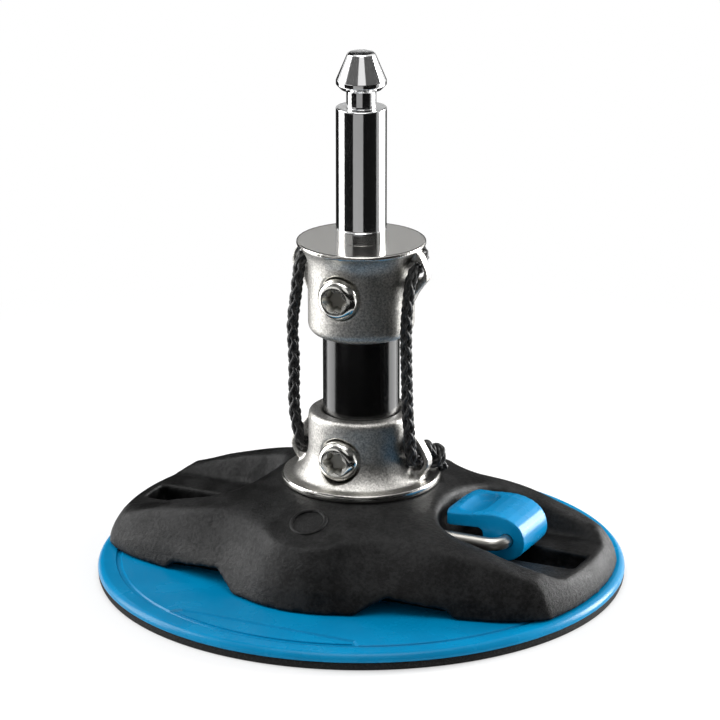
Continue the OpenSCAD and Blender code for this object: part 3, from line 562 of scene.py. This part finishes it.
yarn = Finish("dark_yarn", grey(0.03), 0.55, Sheen_Weight=0.1, Sheen_Roughness=0.4)
strand_uv = yarn.node("UVMap", {"uv_map": "strand"})
thread_scale = (0.9 / MM, 9, 1)
along_strand = yarn.node("Mapping", {}, {"Vector": strand_uv, "Scale": thread_scale})
threads = yarn.node("TexNoise", {}, {"Vector": along_strand, "Scale": 1.0, "Detail": 3.0})
fleck = yarn.noise(1.3 * MM, 3)
yarn.vary(Base_Color=yarn.mix((threads * 0.5 + fleck * 0.5).step(0.5, 0.72), grey(0.005), grey(0.08)),
          Roughness=0.36 + 0.3 * threads)
yarn.bump(threads, 0.09 * MM)

core_black = Finish("cord_core", grey(0.006), 0.7)
core_grain = core_black.noise(0.5 * MM, 2)
core_black.vary(Base_Color=core_black.mix(core_grain, grey(0.003), grey(0.012)))

# %% [markdown]
# ## The saddle
#
# The saddle carries the cup and the lever. It is one large moulding whose soft shoulders and pockets
# give the object its look. Its shape is all in the CAD solid, which is faceted, so a soft copy takes its
# place.

# %% Saddle
saddle = soften("saddle", "saddle_moulding", voxel=0.7 * MM, rounds=11)
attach(saddle, "base")
finish_piece(saddle, nylon)

# %% [markdown]
# ## A bare badge ring
#
# On the near flat of the saddle stands a thin ring, the frame of a badge that is left bare. A torus is
# pressed a little flat, tilted to lie on the saddle and sunk into it by half.

# %% Badge ring
badge_r = 5.1 * MM
badge_wire = 0.68 * MM
badge_place = Vector((-1.0, -34.0, 26.45)) * MM
badge_tilt = radians(22)
badge_press = 0.9
let_go()
bpy.ops.mesh.primitive_torus_add(major_radius=badge_r, minor_radius=badge_wire,
                                 major_segments=96, minor_segments=16)
badge = bpy.context.object
badge.name = "badge_ring"
start_edit(badge)
bpy.ops.transform.resize(value=(1, 1, badge_press))
end_edit()
badge.rotation_euler = (badge_tilt, 0, 0)
badge.location = badge_place
settle(badge)
tidy(badge, 60)
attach(badge, "base")
finish_piece(badge, nylon)
print("badge ring", round(2 * badge_r / MM, 1), "mm across")

# %% [markdown]
# ## The disc
#
# The disc is a thin blue plate with a rounded rim, a groove near the rim and a shallow bare panel inside
# the groove. It is turned here from its outline, so that the rim's highlight runs round without a break.

# %% Disc
groove_mid = disc_r - 6.4 * MM
groove_half = 0.9 * MM
groove_deep = 0.5 * MM
stud_hole = 4.3 * MM
top = disc_high.z
groove_floor_half = groove_half * 0.6
rim_round = 2.1 * MM
edge_round = 0.25 * MM
floor_round = 0.15 * MM
disc_outline = rounded([
    (stud_hole, disc_low.z, 0),
    (disc_r, disc_low.z, edge_round),
    (disc_r, top, rim_round),
    (groove_mid + groove_half, top, edge_round),
    (groove_mid + groove_floor_half, top - groove_deep, floor_round),
    (groove_mid - groove_floor_half, top - groove_deep, floor_round),
    (groove_mid - groove_half, top, edge_round),
    (stud_hole, top, 0)], steps=7)
disc = lathe("disc_moulding", disc_outline + [disc_outline[0]], steps=256)

# %% [markdown]
# The panel is a plain one. A block with its outline is taken away from the top, and a smaller one is put
# back, so that a narrow frame is left between them. Their outer side is an arc that follows the groove.

# %% The disc's bare panel
panel_half = 27.5 * MM
panel_flank = 2.6 * MM
panel_in = 63.5 * MM
panel_rim = groove_mid - groove_half + 0.1 * MM
panel_deep = 0.5 * MM
panel_frame = 1.1 * MM
frame_flare = (1.03, 1.1, 1)
floor_flare = (0.98, 0.94, 1)
arc_half = 12


def wedge(name, corners, low, high, flare):
    """A flat block with the given corners, extruded from low to high and widened there by flare."""
    let_go()
    bpy.ops.mesh.primitive_circle_add(vertices=len(corners), radius=MM, fill_type="NGON")
    obj = bpy.context.object
    obj.name = name
    for vertex, (x, y) in zip(obj.data.vertices, corners):
        vertex.co = (x, y, low)
    start_edit(obj)
    bpy.ops.mesh.extrude_region_move(TRANSFORM_OT_translate={"value": (0, 0, high - low)})
    bpy.ops.transform.resize(value=flare)
    end_edit()
    tidy(obj)
    return obj


def panel_block(name, inset, low, high, flare):
    """A block with the panel's outline, moved inwards by inset."""
    half, inner, rim = panel_half - inset, panel_in + inset, panel_rim - inset
    reach = asin((half + panel_flank) / rim)
    turns = [reach * k / arc_half for k in range(-arc_half, arc_half + 1)]
    arc = [(rim * sin(turn), -rim * cos(turn)) for turn in turns]
    return wedge(name, [(-half, -inner)] + arc + [(half, -inner)], low, high, flare)


cut(disc, panel_block("frame_cutter", 0, top - panel_deep, top + 0.1 * MM, frame_flare))
bare_panel = panel_block("bare_panel", panel_frame, top - 2 * panel_deep, top - 0.1 * MM, floor_flare)
modify(disc, "BOOLEAN", operation="UNION", object=bare_panel, solver="EXACT")
bpy.data.objects.remove(bare_panel)
tidy(disc, 32)
even_shading(disc)
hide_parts("suction_disc")
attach(disc, "base")
finish_piece(disc, disc_blue)
tell(disc)

# %% [markdown]
# ## The foam ring
#
# The foam seals the disc to the board. Seen from its edge it is a black line that bulges a little where
# it is pressed. It is turned too, with its outer edge drawn as a shallow belly. A hair of air above and
# below keeps its faces apart from the disc's and the table's.

# %% Foam ring
foam_in = disc_r - 18 * MM
foam_out = disc_r - 0.25 * MM
foam_belly = 0.2 * MM
foam_air = 0.02 * MM
foam_ring = lathe("foam_ring", rounded([
    (foam_in, foam_air, 0),
    (foam_out - 0.3 * MM, foam_air, 0.4 * MM),
    (foam_out + foam_belly, pad_top * 0.5, 1.2 * MM),
    (foam_out - 0.1 * MM, pad_top - foam_air, 0.3 * MM),
    (foam_in, pad_top - foam_air, 0),
    (foam_in, foam_air, 0)]), steps=256)
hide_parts("seal_pad")
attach(foam_ring, "base")
finish_piece(foam_ring, foam)

# %% [markdown]
# ## The cups
#
# Each cup is a casting with a bore for the tendon, two ears for the cord and a flat for each bolt. The
# voxel is small here, because the ears and the flats have edges of only a few tenths.

# %% Cups
lower_cup = soften("lower_cup", "lower_cup_casting", voxel=0.4 * MM, rounds=4)
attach(lower_cup, "base")
finish_piece(lower_cup, lower_cast)
upper_cup = soften("upper_cup", "upper_cup_casting", voxel=0.4 * MM, rounds=4)
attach(upper_cup, "mast_head")
finish_piece(upper_cup, upper_cast)

# %% [markdown]
# ## Cross bolts and nuts
#
# A bolt and a lock nut cross each cup and the tendon in it. The bolt's head is a polished dome, forged
# with a six-lobed recess. The bolt is turned from its outline, the recess is cut with a lobed punch that
# tapers a little, and a small bevel breaks the edges that the punch leaves.

# %% Bolts and nuts
head_h = 4.4 * MM
head_rim_h = 1.6 * MM
shank_r = 4 * MM
crown_steps = 12
lobe_wave = 0.12
punch_taper = 0.68
punch_bevel = 0.2 * MM
sharp = 40


def bolt_outline(head_r, length):
    """Shank, rim and domed crown of a bolt that stands on the end of its shank."""
    crown = []
    for i in range(crown_steps + 1):
        turn = i * pi / (2 * crown_steps)
        crown.append(Vector((head_r - (head_r - recess_r) * (1 - cos(turn)),
                             head_rim_h + (head_h - head_rim_h) * sin(turn))))
    shank = rounded([(0, -length, 0), (shank_r, -length, 0.6 * MM), (shank_r, 0, 0.1 * MM),
                     (head_r, 0, 0.35 * MM), (head_r, head_rim_h * 0.9, 0)])
    return shank + crown + [Vector((0, head_h))]


def recess_punch():
    """A six-lobed punch, narrow at the recess's floor and wider towards the top of the head and above."""
    let_go()
    bpy.ops.mesh.primitive_circle_add(vertices=144, radius=recess_r * punch_taper, fill_type="NGON",
                                      location=(0, 0, 0))
    punch = bpy.context.object
    for vertex in punch.data.vertices:
        lobe = 1 - lobe_wave + lobe_wave * cos(6 * atan2(vertex.co.y, vertex.co.x))
        vertex.co = (vertex.co.x * lobe, vertex.co.y * lobe, head_h - recess_deep)
    start_edit(punch)
    bpy.ops.mesh.extrude_region_move(TRANSFORM_OT_translate={"value": (0, 0, recess_deep)})
    bpy.ops.transform.resize(value=(1 / punch_taper, 1 / punch_taper, 1))
    bpy.ops.mesh.extrude_region_move(TRANSFORM_OT_translate={"value": (0, 0, recess_deep)})
    end_edit()
    tidy(punch)
    return punch


def cross_bolt(node, name):
    low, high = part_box(node)
    bolt = lathe(name, bolt_outline((high.z - low.z) / 2, high.y - low.y - head_h), steps=128)
    cut(bolt, recess_punch())
    tidy(bolt, sharp)
    modify(bolt, "BEVEL", width=punch_bevel, segments=3, limit_method="ANGLE", angle_limit=radians(sharp))
    bolt.rotation_euler = (pi / 2, 0, 0)
    bolt.location = (0, low.y + head_h, middle_z(node))
    settle(bolt)
    tidy(bolt, sharp)
    even_shading(bolt)
    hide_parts(node)
    tell(bolt)
    return bolt


nut_steel = tumbled_finish("nut_steel")
for level, body in (("lower", "base"), ("upper", "mast_head")):
    bolt = cross_bolt(level + "_bolt", level + "_bolt_steel")
    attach(bolt, body)
    finish_piece(bolt, tumbled_finish(level + "_bolt_steel", level + "_bolt"))
    nut = soften(level + "_nut", level + "_nut_steel", voxel=0.2 * MM, rounds=3)
    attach(nut, body)
    finish_piece(nut, nut_steel)

# %% [markdown]
# ## The mast pin
#
# The pin is turned and ground. It has a fine joint line near its foot, a neck for a catch and a tapered
# head. A voxel copy would ripple in the reflections, so the pin is drawn and spun.

# %% Mast pin
pin_r = pin_high.x
foot = pin_low.z
tip = pin_high.z
body_length = 40.4 * MM
neck_length = 5.4 * MM
neck = foot + body_length
head = neck + neck_length
shoulder_top = head + 1.5 * MM
taper_start = head + 2.7 * MM
neck_r = 4.4 * MM
shoulder_r = 6.0 * MM
head_r = pin_r - 0.05 * MM
tip_r = 3.85 * MM
seam = foot + 3.9 * MM
seam_half = 0.25 * MM
corner = 0.25 * MM
pin = lathe("mast_pin_steel", rounded([
    (0, foot, 0),
    (pin_r, foot, 0.15 * MM),
    (pin_r, seam - seam_half, 0.1 * MM),
    (pin_r - seam_half, seam, 0.05 * MM),
    (pin_r, seam + seam_half, 0.1 * MM),
    (pin_r, neck, 0.45 * MM),
    (neck_r, neck, corner),
    (neck_r, head, corner),
    (shoulder_r, head, 0.2 * MM),
    (head_r, shoulder_top, 0.4 * MM),
    (head_r, taper_start, 0.5 * MM),
    (tip_r + 0.3 * MM, tip - 0.4 * MM, 0.5 * MM),
    (tip_r - 0.2 * MM, tip, 0.4 * MM),
    (0, tip, 0)], steps=6), steps=160)
even_shading(pin)
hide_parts("mast_pin")
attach(pin, "mast_head")
finish_piece(pin, ground)

# %% [markdown]
# ## The tendon
#
# The tendon is a stout rod of urethane that bends when the mast leans. It crosses two hinges that stand
# at the middle of its free length, and a piece can bend across one hinge only, so it is made as two
# halves that meet there. Each half is a circle extruded in short steps.

# %% Tendon halves
def rod(name, radius, low, high, rings):
    """An upright rod with closed ends, extruded in equal steps."""
    let_go()
    bpy.ops.mesh.primitive_circle_add(vertices=96, radius=radius, fill_type="NGON", location=(0, 0, low))
    obj = bpy.context.object
    obj.name = name
    settle(obj)
    start_edit(obj)
    for _ in range(rings):
        bpy.ops.mesh.extrude_region_move(TRANSFORM_OT_translate={"value": (0, 0, (high - low) / rings)})
    end_edit()
    tidy(obj)
    return obj


def cut_bore(obj, z):
    """Takes the bore of a cross bolt, along Y at height z, out of a piece."""
    let_go()
    bpy.ops.mesh.primitive_cylinder_add(vertices=64, radius=bore_r, depth=bore_length,
                                        location=(0, 0, z), rotation=(pi / 2, 0, 0))
    cut(obj, bpy.context.object)
    tidy(obj)
    tell(obj)


bore_r = 4.1 * MM
bore_length = 40 * MM
tendon_rings = 32
tendon_lower = rod("tendon_lower", tendon_r, tendon_low.z, bend_z, tendon_rings)
cut_bore(tendon_lower, middle_z("lower_bolt"))
tendon_upper = rod("tendon_upper", tendon_r, bend_z, tendon_high.z, tendon_rings)
cut_bore(tendon_upper, middle_z("upper_bolt"))
for half in (tendon_lower, tendon_upper):
    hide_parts("tendon")
    finish_piece(half, urethane)
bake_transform(tendon_lower)
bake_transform(tendon_upper)

# %% [markdown]
# ## The braid
#
# The cord is braided from eight strands, four that wind to the right and four to the left, each passing
# over and under the others. That is easier to compute than to model: a strand is a tube round the cord's
# middle line, and its distance from that line swings in and out, so that it lies over one neighbour
# and under the next. The route is the same list of points as in the CAD model.

# %% Curves and tubes
def midpoints_added(points):
    """The same curve with one more point between each two."""
    last = len(points) - 1
    dense = []
    for i in range(last):
        before, here, after, beyond = [points[min(max(k, 0), last)] for k in range(i - 1, i + 3)]
        dense += [here, (9 * (here + after) - before - beyond) / 16]
    return dense + [points[-1]]


def evenly(points, spacing):
    """Points at equal distances along a polyline, and its length."""
    lengths = [0.0]
    for a, b in zip(points, points[1:]):
        lengths.append(lengths[-1] + (b - a).length)
    count = max(2, round(lengths[-1] / spacing))
    even, i = [], 0
    for k in range(count + 1):
        want = lengths[-1] * k / count
        while i < len(points) - 2 and lengths[i + 1] < want:
            i += 1
        share = (want - lengths[i]) / (lengths[i + 1] - lengths[i])
        even.append(points[i].lerp(points[i + 1], min(1, share)))
    return even, lengths[-1]


def side_frames(points):
    """Two directions across the curve at each point, carried along without twist."""
    frames, side = [], Vector((1, 0, 0))
    for i in range(len(points)):
        ahead = (points[min(i + 1, len(points) - 1)] - points[max(i - 1, 0)]).normalized()
        side = (side - side.dot(ahead) * ahead).normalized()
        frames.append((side, ahead.cross(side)))
    return frames


def tube_mesh(name, lines, radius, sides, spacing):
    """Round tubes along the given lines in one mesh, with a UV map along and round each tube.

    It is the one mesh that is computed, because no tool of Blender's draws strands over and under.
    """
    corners, faces, uvs = [], [], []
    for line in lines:
        base = len(corners)
        for point, (side, up) in zip(line, side_frames(line)):
            for k in range(sides):
                a = 2 * pi * k / sides
                corners.append(point + radius * (cos(a) * side + sin(a) * up))
        for i in range(len(line) - 1):
            for k in range(sides):
                a, b = base + i * sides + k, base + i * sides + (k + 1) % sides
                faces.append((a, b, b + sides, a + sides))
                uvs += [(i * spacing, k / sides), (i * spacing, (k + 1) / sides),
                        ((i + 1) * spacing, (k + 1) / sides), ((i + 1) * spacing, k / sides)]
        for start, step in ((base, -1), (base + (len(line) - 1) * sides, 1)):
            faces.append([start + k for k in range(sides)][::step])
            uvs += [(0, 0)] * sides
    mesh = bpy.data.meshes.new(name)
    mesh.from_pydata(corners, [], faces)
    layer = mesh.uv_layers.new(name="strand")
    for loop, uv in zip(layer.data, uvs):
        loop.uv = uv
    mesh.shade_smooth()
    obj = bpy.data.objects.new(name, mesh)
    bpy.context.scene.collection.objects.link(obj)
    tell(obj)
    return obj


# %% [markdown]
# A strand's own radius, the radius it winds at and how far it swings in and out come from the cord's
# diameter. One full turn takes about five diameters, as in a soft braid. A dark core fills the middle.

# %% Braid a cord along a line
cord_d = 3.5 * MM
strand_r = cord_d * 0.165
wind_r = cord_d * 0.325
swing = cord_d * 0.062
core_r = wind_r - 0.1 * MM
turn_length = cord_d * 5.2
ring_gap = 0.45 * MM
strand_sides = 6
core_sides = 8


def strands(middle, squeeze=1.0):
    """The lines of the eight strands round a middle line."""
    frames = side_frames(middle)
    lines = []
    for way in (1, -1):
        for i in range(4):
            line = []
            for k, (point, (side, up)) in enumerate(zip(middle, frames)):
                turn = 2 * pi * (k * ring_gap) / turn_length
                a = way * turn + pi / 2 * i
                r = (wind_r + way * swing * cos(4 * turn)) * squeeze
                line.append(point + r * (cos(a) * side + sin(a) * up))
            lines.append(line)
    return lines


def braid(name, lines, middle, squeeze=1.0):
    """The strands and the core of one piece of cord, as two objects."""
    outer = tube_mesh(name, lines, strand_r * squeeze, strand_sides, ring_gap)
    finish_piece(outer, yarn)
    core = tube_mesh(name + "_core", [middle], core_r * squeeze, core_sides, ring_gap)
    finish_piece(core, core_black)
    return outer, core


# %% [markdown]
# ## The safety cord
#
# The cord leaves its knot at the right lower ear, climbs past the tendon, goes through the right upper
# ear, round the back of the upper cup and down the other side in the same way. Both legs cross the
# plane where the tendon bends, so the cord is cut there into three pieces. Its strands are drawn once
# for the whole length, so that they run on across the cuts.

# %% Route and pieces of the cord
cord_route = [Vector(point) * MM for point in [
    (18.3, 3.4, 38.0), (18.3, 0.0, 38.0), (18.4, -2.8, 38.4), (18.5, -4.3, 40.6),
    (18.4, -4.6, 44.5), (17.8, -5.0, 52.0), (17.7, -5.4, 58.0), (17.6, -5.6, 65.0),
    (17.5, -5.8, 72.0), (17.5, -6.0, 79.0), (17.7, -5.8, 86.0), (18.1, -5.0, 92.5),
    (18.3, -3.6, 96.2), (18.3, -1.6, 97.6), (18.3, 0.8, 97.8), (17.9, 3.4, 98.2),
    (16.6, 7.6, 98.9), (13.6, 12.9, 99.3), (8.0, 17.4, 99.3), (0.0, 19.2, 99.3),
    (-8.0, 17.4, 99.3), (-13.6, 12.9, 99.3), (-16.6, 7.6, 98.9), (-17.9, 3.4, 98.2),
    (-18.3, 0.8, 97.8), (-18.3, -1.6, 97.6), (-18.4, -3.6, 96.0), (-18.7, -4.6, 92.0),
    (-19.3, -4.7, 86.5), (-20.3, -4.6, 80.0), (-20.7, -4.4, 74.0), (-20.4, -4.3, 68.0),
    (-20.3, -4.3, 61.0), (-20.4, -4.3, 54.0), (-20.0, -4.4, 48.5), (-19.0, -4.6, 44.0),
    (-18.4, -4.3, 40.6), (-18.3, -2.8, 38.4), (-18.3, 0.0, 38.0), (-18.3, 3.4, 38.0)]]
cord_middle, cord_length = evenly(midpoints_added(midpoints_added(cord_route)), ring_gap)
print("cord", round(cord_length / MM, 1), "mm from knot to knot")


def crossing(points, going_up):
    """Index of the point where the line crosses the bend's height."""
    for i in range(1, len(points)):
        a, b = points[i - 1].z - bend_z, points[i].z - bend_z
        if (going_up and a < 0 <= b) or (not going_up and a >= 0 > b):
            return i


up_cut = crossing(cord_middle, True)
down_cut = crossing(cord_middle, False)
all_strands = strands(cord_middle)
stretches = {"right": (0, up_cut), "top": (up_cut, down_cut), "left": (down_cut, len(cord_middle) - 1)}
for part, (first, last) in stretches.items():
    lines = [line[first:last + 1] for line in all_strands]
    for piece in braid("cord_" + part, lines, cord_middle[first:last + 1]):
        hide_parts("safety_cord")
        if part == "top":
            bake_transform(piece)
        else:
            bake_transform(piece)

# %% [markdown]
# ## Stopper knots
#
# An overhand knot behind each lower ear keeps the cord from pulling out. Pulled tight, an overhand knot
# is an open trefoil, so its middle line follows the trefoil formula, with a lead in from the ear and a
# short tail. The braid runs through it a little squeezed.

# %% Knots
knot_centre = Vector((19.6, 7.3, 37.4)) * MM
knot_wide = 2.35 * MM
knot_wave = 1.15 * MM
knot_thick = 1.75 * MM
knot_steps = 28
knot_squeeze = 0.86
lead_in = Vector((0, -1.2, 0)) * MM
tail = [Vector((1.6, 3.6, -3.6)) * MM, Vector((2.6, 4.6, -5.4)) * MM]


def knot_line(side):
    """Middle line of one knot: lead, trefoil and tail."""
    line = [cord_route[0] + lead_in, cord_route[0]]
    for k in range(knot_steps - 1):
        t = pi / 2 + 2 * pi * k / knot_steps
        r = knot_wide + knot_wave * cos(3 * t)
        line.append(knot_centre + Vector((r * cos(2 * t), knot_thick * sin(3 * t), r * sin(2 * t))))
    line += [knot_centre + point for point in tail]
    line = [Vector((side * point.x, point.y, point.z)) for point in line]
    return evenly(midpoints_added(midpoints_added(line)), ring_gap)[0]


for side, word in ((1, "right"), (-1, "left")):
    middle = knot_line(side)
    for piece in braid("knot_" + word, strands(middle, knot_squeeze), middle, knot_squeeze):
        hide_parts("cord_knots")
        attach(piece, "base")

# %% [markdown]
# ## Lever and bail
#
# The lever is a polished blue moulding with soft edges and a scoop for the thumb. The bail is a bent
# wire. Both are soft copies with a fine voxel.

# %% Lever and bail
lever = soften("lever", "lever_moulding", voxel=0.27 * MM, rounds=6)
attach(lever, "lever")
finish_piece(lever, lever_blue)
bail = soften("bail", "bail_wire", voxel=0.28 * MM, rounds=3)
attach(bail, "bail")
finish_piece(bail, drawn)

# %% [markdown]
# ## Hidden pieces
#
# Screws, plate, yoke, stud and bushes sit inside and show only from below or in section. Their CAD shape
# is right, so they stay and only get their finish.

# %% Finishes of the CAD nodes that stay
steel_nodes = ["saddle_screws", "clamp_plate", "cup_screws", "pin_screw", "lift_yoke", "disc_stud",
               "stud_washer", "stud_nut"]
for node in steel_nodes + ["bail_bushes"]:
    finish = acetal if node == "bail_bushes" else plain_steel
    nodes[node].data.materials.clear()
    nodes[node].data.materials.append(finish.material)
    print(node, "is given", finish.material.name)

# %% [markdown]
# ## Table
#
# The object stands on a white table in a white room. The table is a real surface near the object, where
# it takes the shadow, and fades into plain white further out. What the lens, metal and glossy plastic see
# of it is that white, while soft light still bounces off the real surface.

# %% Table
let_go()
bpy.ops.mesh.primitive_plane_add(size=6, location=(0, 0, 0))
floor = bpy.context.object
floor.name = "table"
table = Finish("table_white", grey(0.8), 0.9, Specular_IOR_Level=0.1)
table.vary(Base_Color=table.mix(table.noise(0.3, 2), grey(0.80), grey(0.82)))
white_near = 0.45
fade = white_near + (1 - white_near) * table.radius().step(0.1, 0.3)
white = table.node("Emission", {}, {"Color": grey(1.0), "Strength": 1.0})
real = Value(table, table.surface.outputs["BSDF"])
blend = table.node("MixShader", {}, {0: table.direct_view() * fade, 1: real, 2: white})
table.put(table.tree.nodes["Material Output"], {"Surface": blend})
floor.data.materials.append(table.material)

# %% [markdown]
# ## Room
#
# The room is plain white to the lens and in mirrors, but as a source of soft light it is only half as
# strong, so that it fills the shadows without washing them out.

# %% Room
room_light = 0.5
world = bpy.data.worlds.new("studio")
bpy.context.scene.world = world
world.use_nodes = True
room = Network(world.node_tree)
strength = room.node("MapRange", {}, {"Value": room.direct_view(), "To Min": room_light})
room.put(room.tree.nodes["Background"], {"Color": grey(1.0), "Strength": strength})
print("room light", room_light)

# %% [markdown]
# ## Lamps
#
# Two soft boxes stand low, one at the object's left and one behind its right side, where they draw long
# highlights down the metal and along the saddle's edges. A weak one hangs above for the flat tops.

# %% Lamps
aim = Vector((0, 0, 0.06))


def soft_box(name, azimuth, elevation, distance, width, height, power):
    """A rectangular lamp that looks at the object's middle. Angles in degrees, sizes in metres."""
    a, e = radians(azimuth), radians(elevation)
    place = aim + distance * Vector((sin(a) * cos(e), -cos(a) * cos(e), sin(e)))
    lamp = bpy.data.lights.new(name, "AREA")
    lamp.shape = "RECTANGLE"
    lamp.size = width
    lamp.size_y = height
    lamp.energy = power
    obj = bpy.data.objects.new(name, lamp)
    obj.location = place
    obj.rotation_euler = (aim - place).to_track_quat("-Z", "Y").to_euler()
    bpy.context.scene.collection.objects.link(obj)
    print(name, power, "W")


soft_box("left_box", azimuth=-78, elevation=20, distance=0.9, width=0.5, height=0.9, power=10)
soft_box("right_box", azimuth=140, elevation=12, distance=0.9, width=0.4, height=0.5, power=15)
soft_box("top_box", azimuth=20, elevation=80, distance=1.0, width=0.6, height=0.6, power=4)

# %% [markdown]
# ## Flags and cards
#
# Polished steel shows its surroundings, and in an all-white room it would look like white plastic. A
# studio puts black flags round such a piece, and white or glowing cards where a bright edge is wanted.
# Here they are curved screens, given by the turn from the camera's side at which they start and end.
# Upright walls mirror the table when the lens looks down, so most of them are mats on the table, and the
# others stand on edge round it. They are seen in reflections only, so they add no light and no shadow.

# %% Flags and cards
def flag(name, outline, start, end, shade, glow=0):
    """A screen round the object. Angles in degrees from the camera's side."""
    obj = lathe(name, [Vector(point) for point in outline], steps=24, start=camera_side + start,
                sweep=end - start)
    cloth = Finish(name + "_cloth", grey(shade), 0.9, Specular_IOR_Level=0.0, Emission_Strength=glow)
    weave = cloth.noise(0.05, 2)
    cloth.vary(Base_Color=cloth.mix(weave, grey(shade * 0.9), grey(shade * 1.1)))
    obj.data.materials.append(cloth.material)
    obj.visible_camera = False
    obj.visible_diffuse = False
    obj.visible_shadow = False
    obj.visible_transmission = False


mat_z = 0.5 * MM


def mat(name, near, far, start, end, shade, glow=0):
    """A flag on the table, between two distances from the object's axis."""
    flag(name, [(near, mat_z), (far, mat_z)], start, end, shade, glow)


def screen(name, away, low, high, start, end, shade):
    """A flag on edge, at one distance from the axis and between two heights."""
    flag(name, [(away, low), (away, high)], start, end, shade)


black = 0.006
white_card = 0.8
near_r = 0.1
card_r = 0.12
middle_r = 0.29
far_r = 0.9
back_r = 0.28
mat("glow_left", card_r, middle_r, -120, -84, white_card, glow=2)
mat("glow_left_far", middle_r, far_r, -120, -84, white_card, glow=1.6)
mat("mat_left", near_r, far_r, -84, -37, black)
mat("mat_middle", near_r, middle_r, -37, 14, black)
mat("mat_middle_far", middle_r, far_r, -37, 8, 0.33)
mat("mat_right", near_r, middle_r, 14, 88, black)
mat("mat_right_far", middle_r, far_r, 8, 72, black)
mat("mat_side_far", middle_r, far_r, 72, 88, 0.2)
mat("glow_right", card_r, far_r, 90, 128, white_card, glow=1.6)
mat("mat_back", near_r, far_r, 140, 222, 0.02)
screen("back_low", back_r, 0, 0.165, 150, 240, black)
screen("back_card", back_r, 0.165, 0.225, 150, 240, 0.55)
screen("back_high", back_r, 0.225, 0.6, 150, 240, 0.02)
screen("front_low", far_r, 0.01, 0.5, -40, 76, black)
screen("high_left", far_r, 0.35, 1.5, -78, -17, 0.1)
screen("high_right", far_r, 0.35, 1.5, 22, 100, 0.08)

# %% [markdown]
# ## Cards for the bolts
#
# The floor of each bolt's recess mirrors the black mats on the far side of the lens. A grey card on the
# table, at the distance where the floor's mirror image meets it, makes the star readable.

# %% Cards for the bolts
card_turn = -2 * camera_side
card_half_turn = 12
card_half = 0.018
for node in ("lower_bolt", "upper_bolt"):
    reach = middle_z(node) / tan(camera_pitch)
    flag("card_" + node, [(reach - card_half, 2 * mat_z), (reach + card_half, 2 * mat_z)],
         card_turn - card_half_turn, card_turn + card_half_turn, 0.45)

# %% Colour view
bpy.context.scene.view_settings.view_transform = "Standard"
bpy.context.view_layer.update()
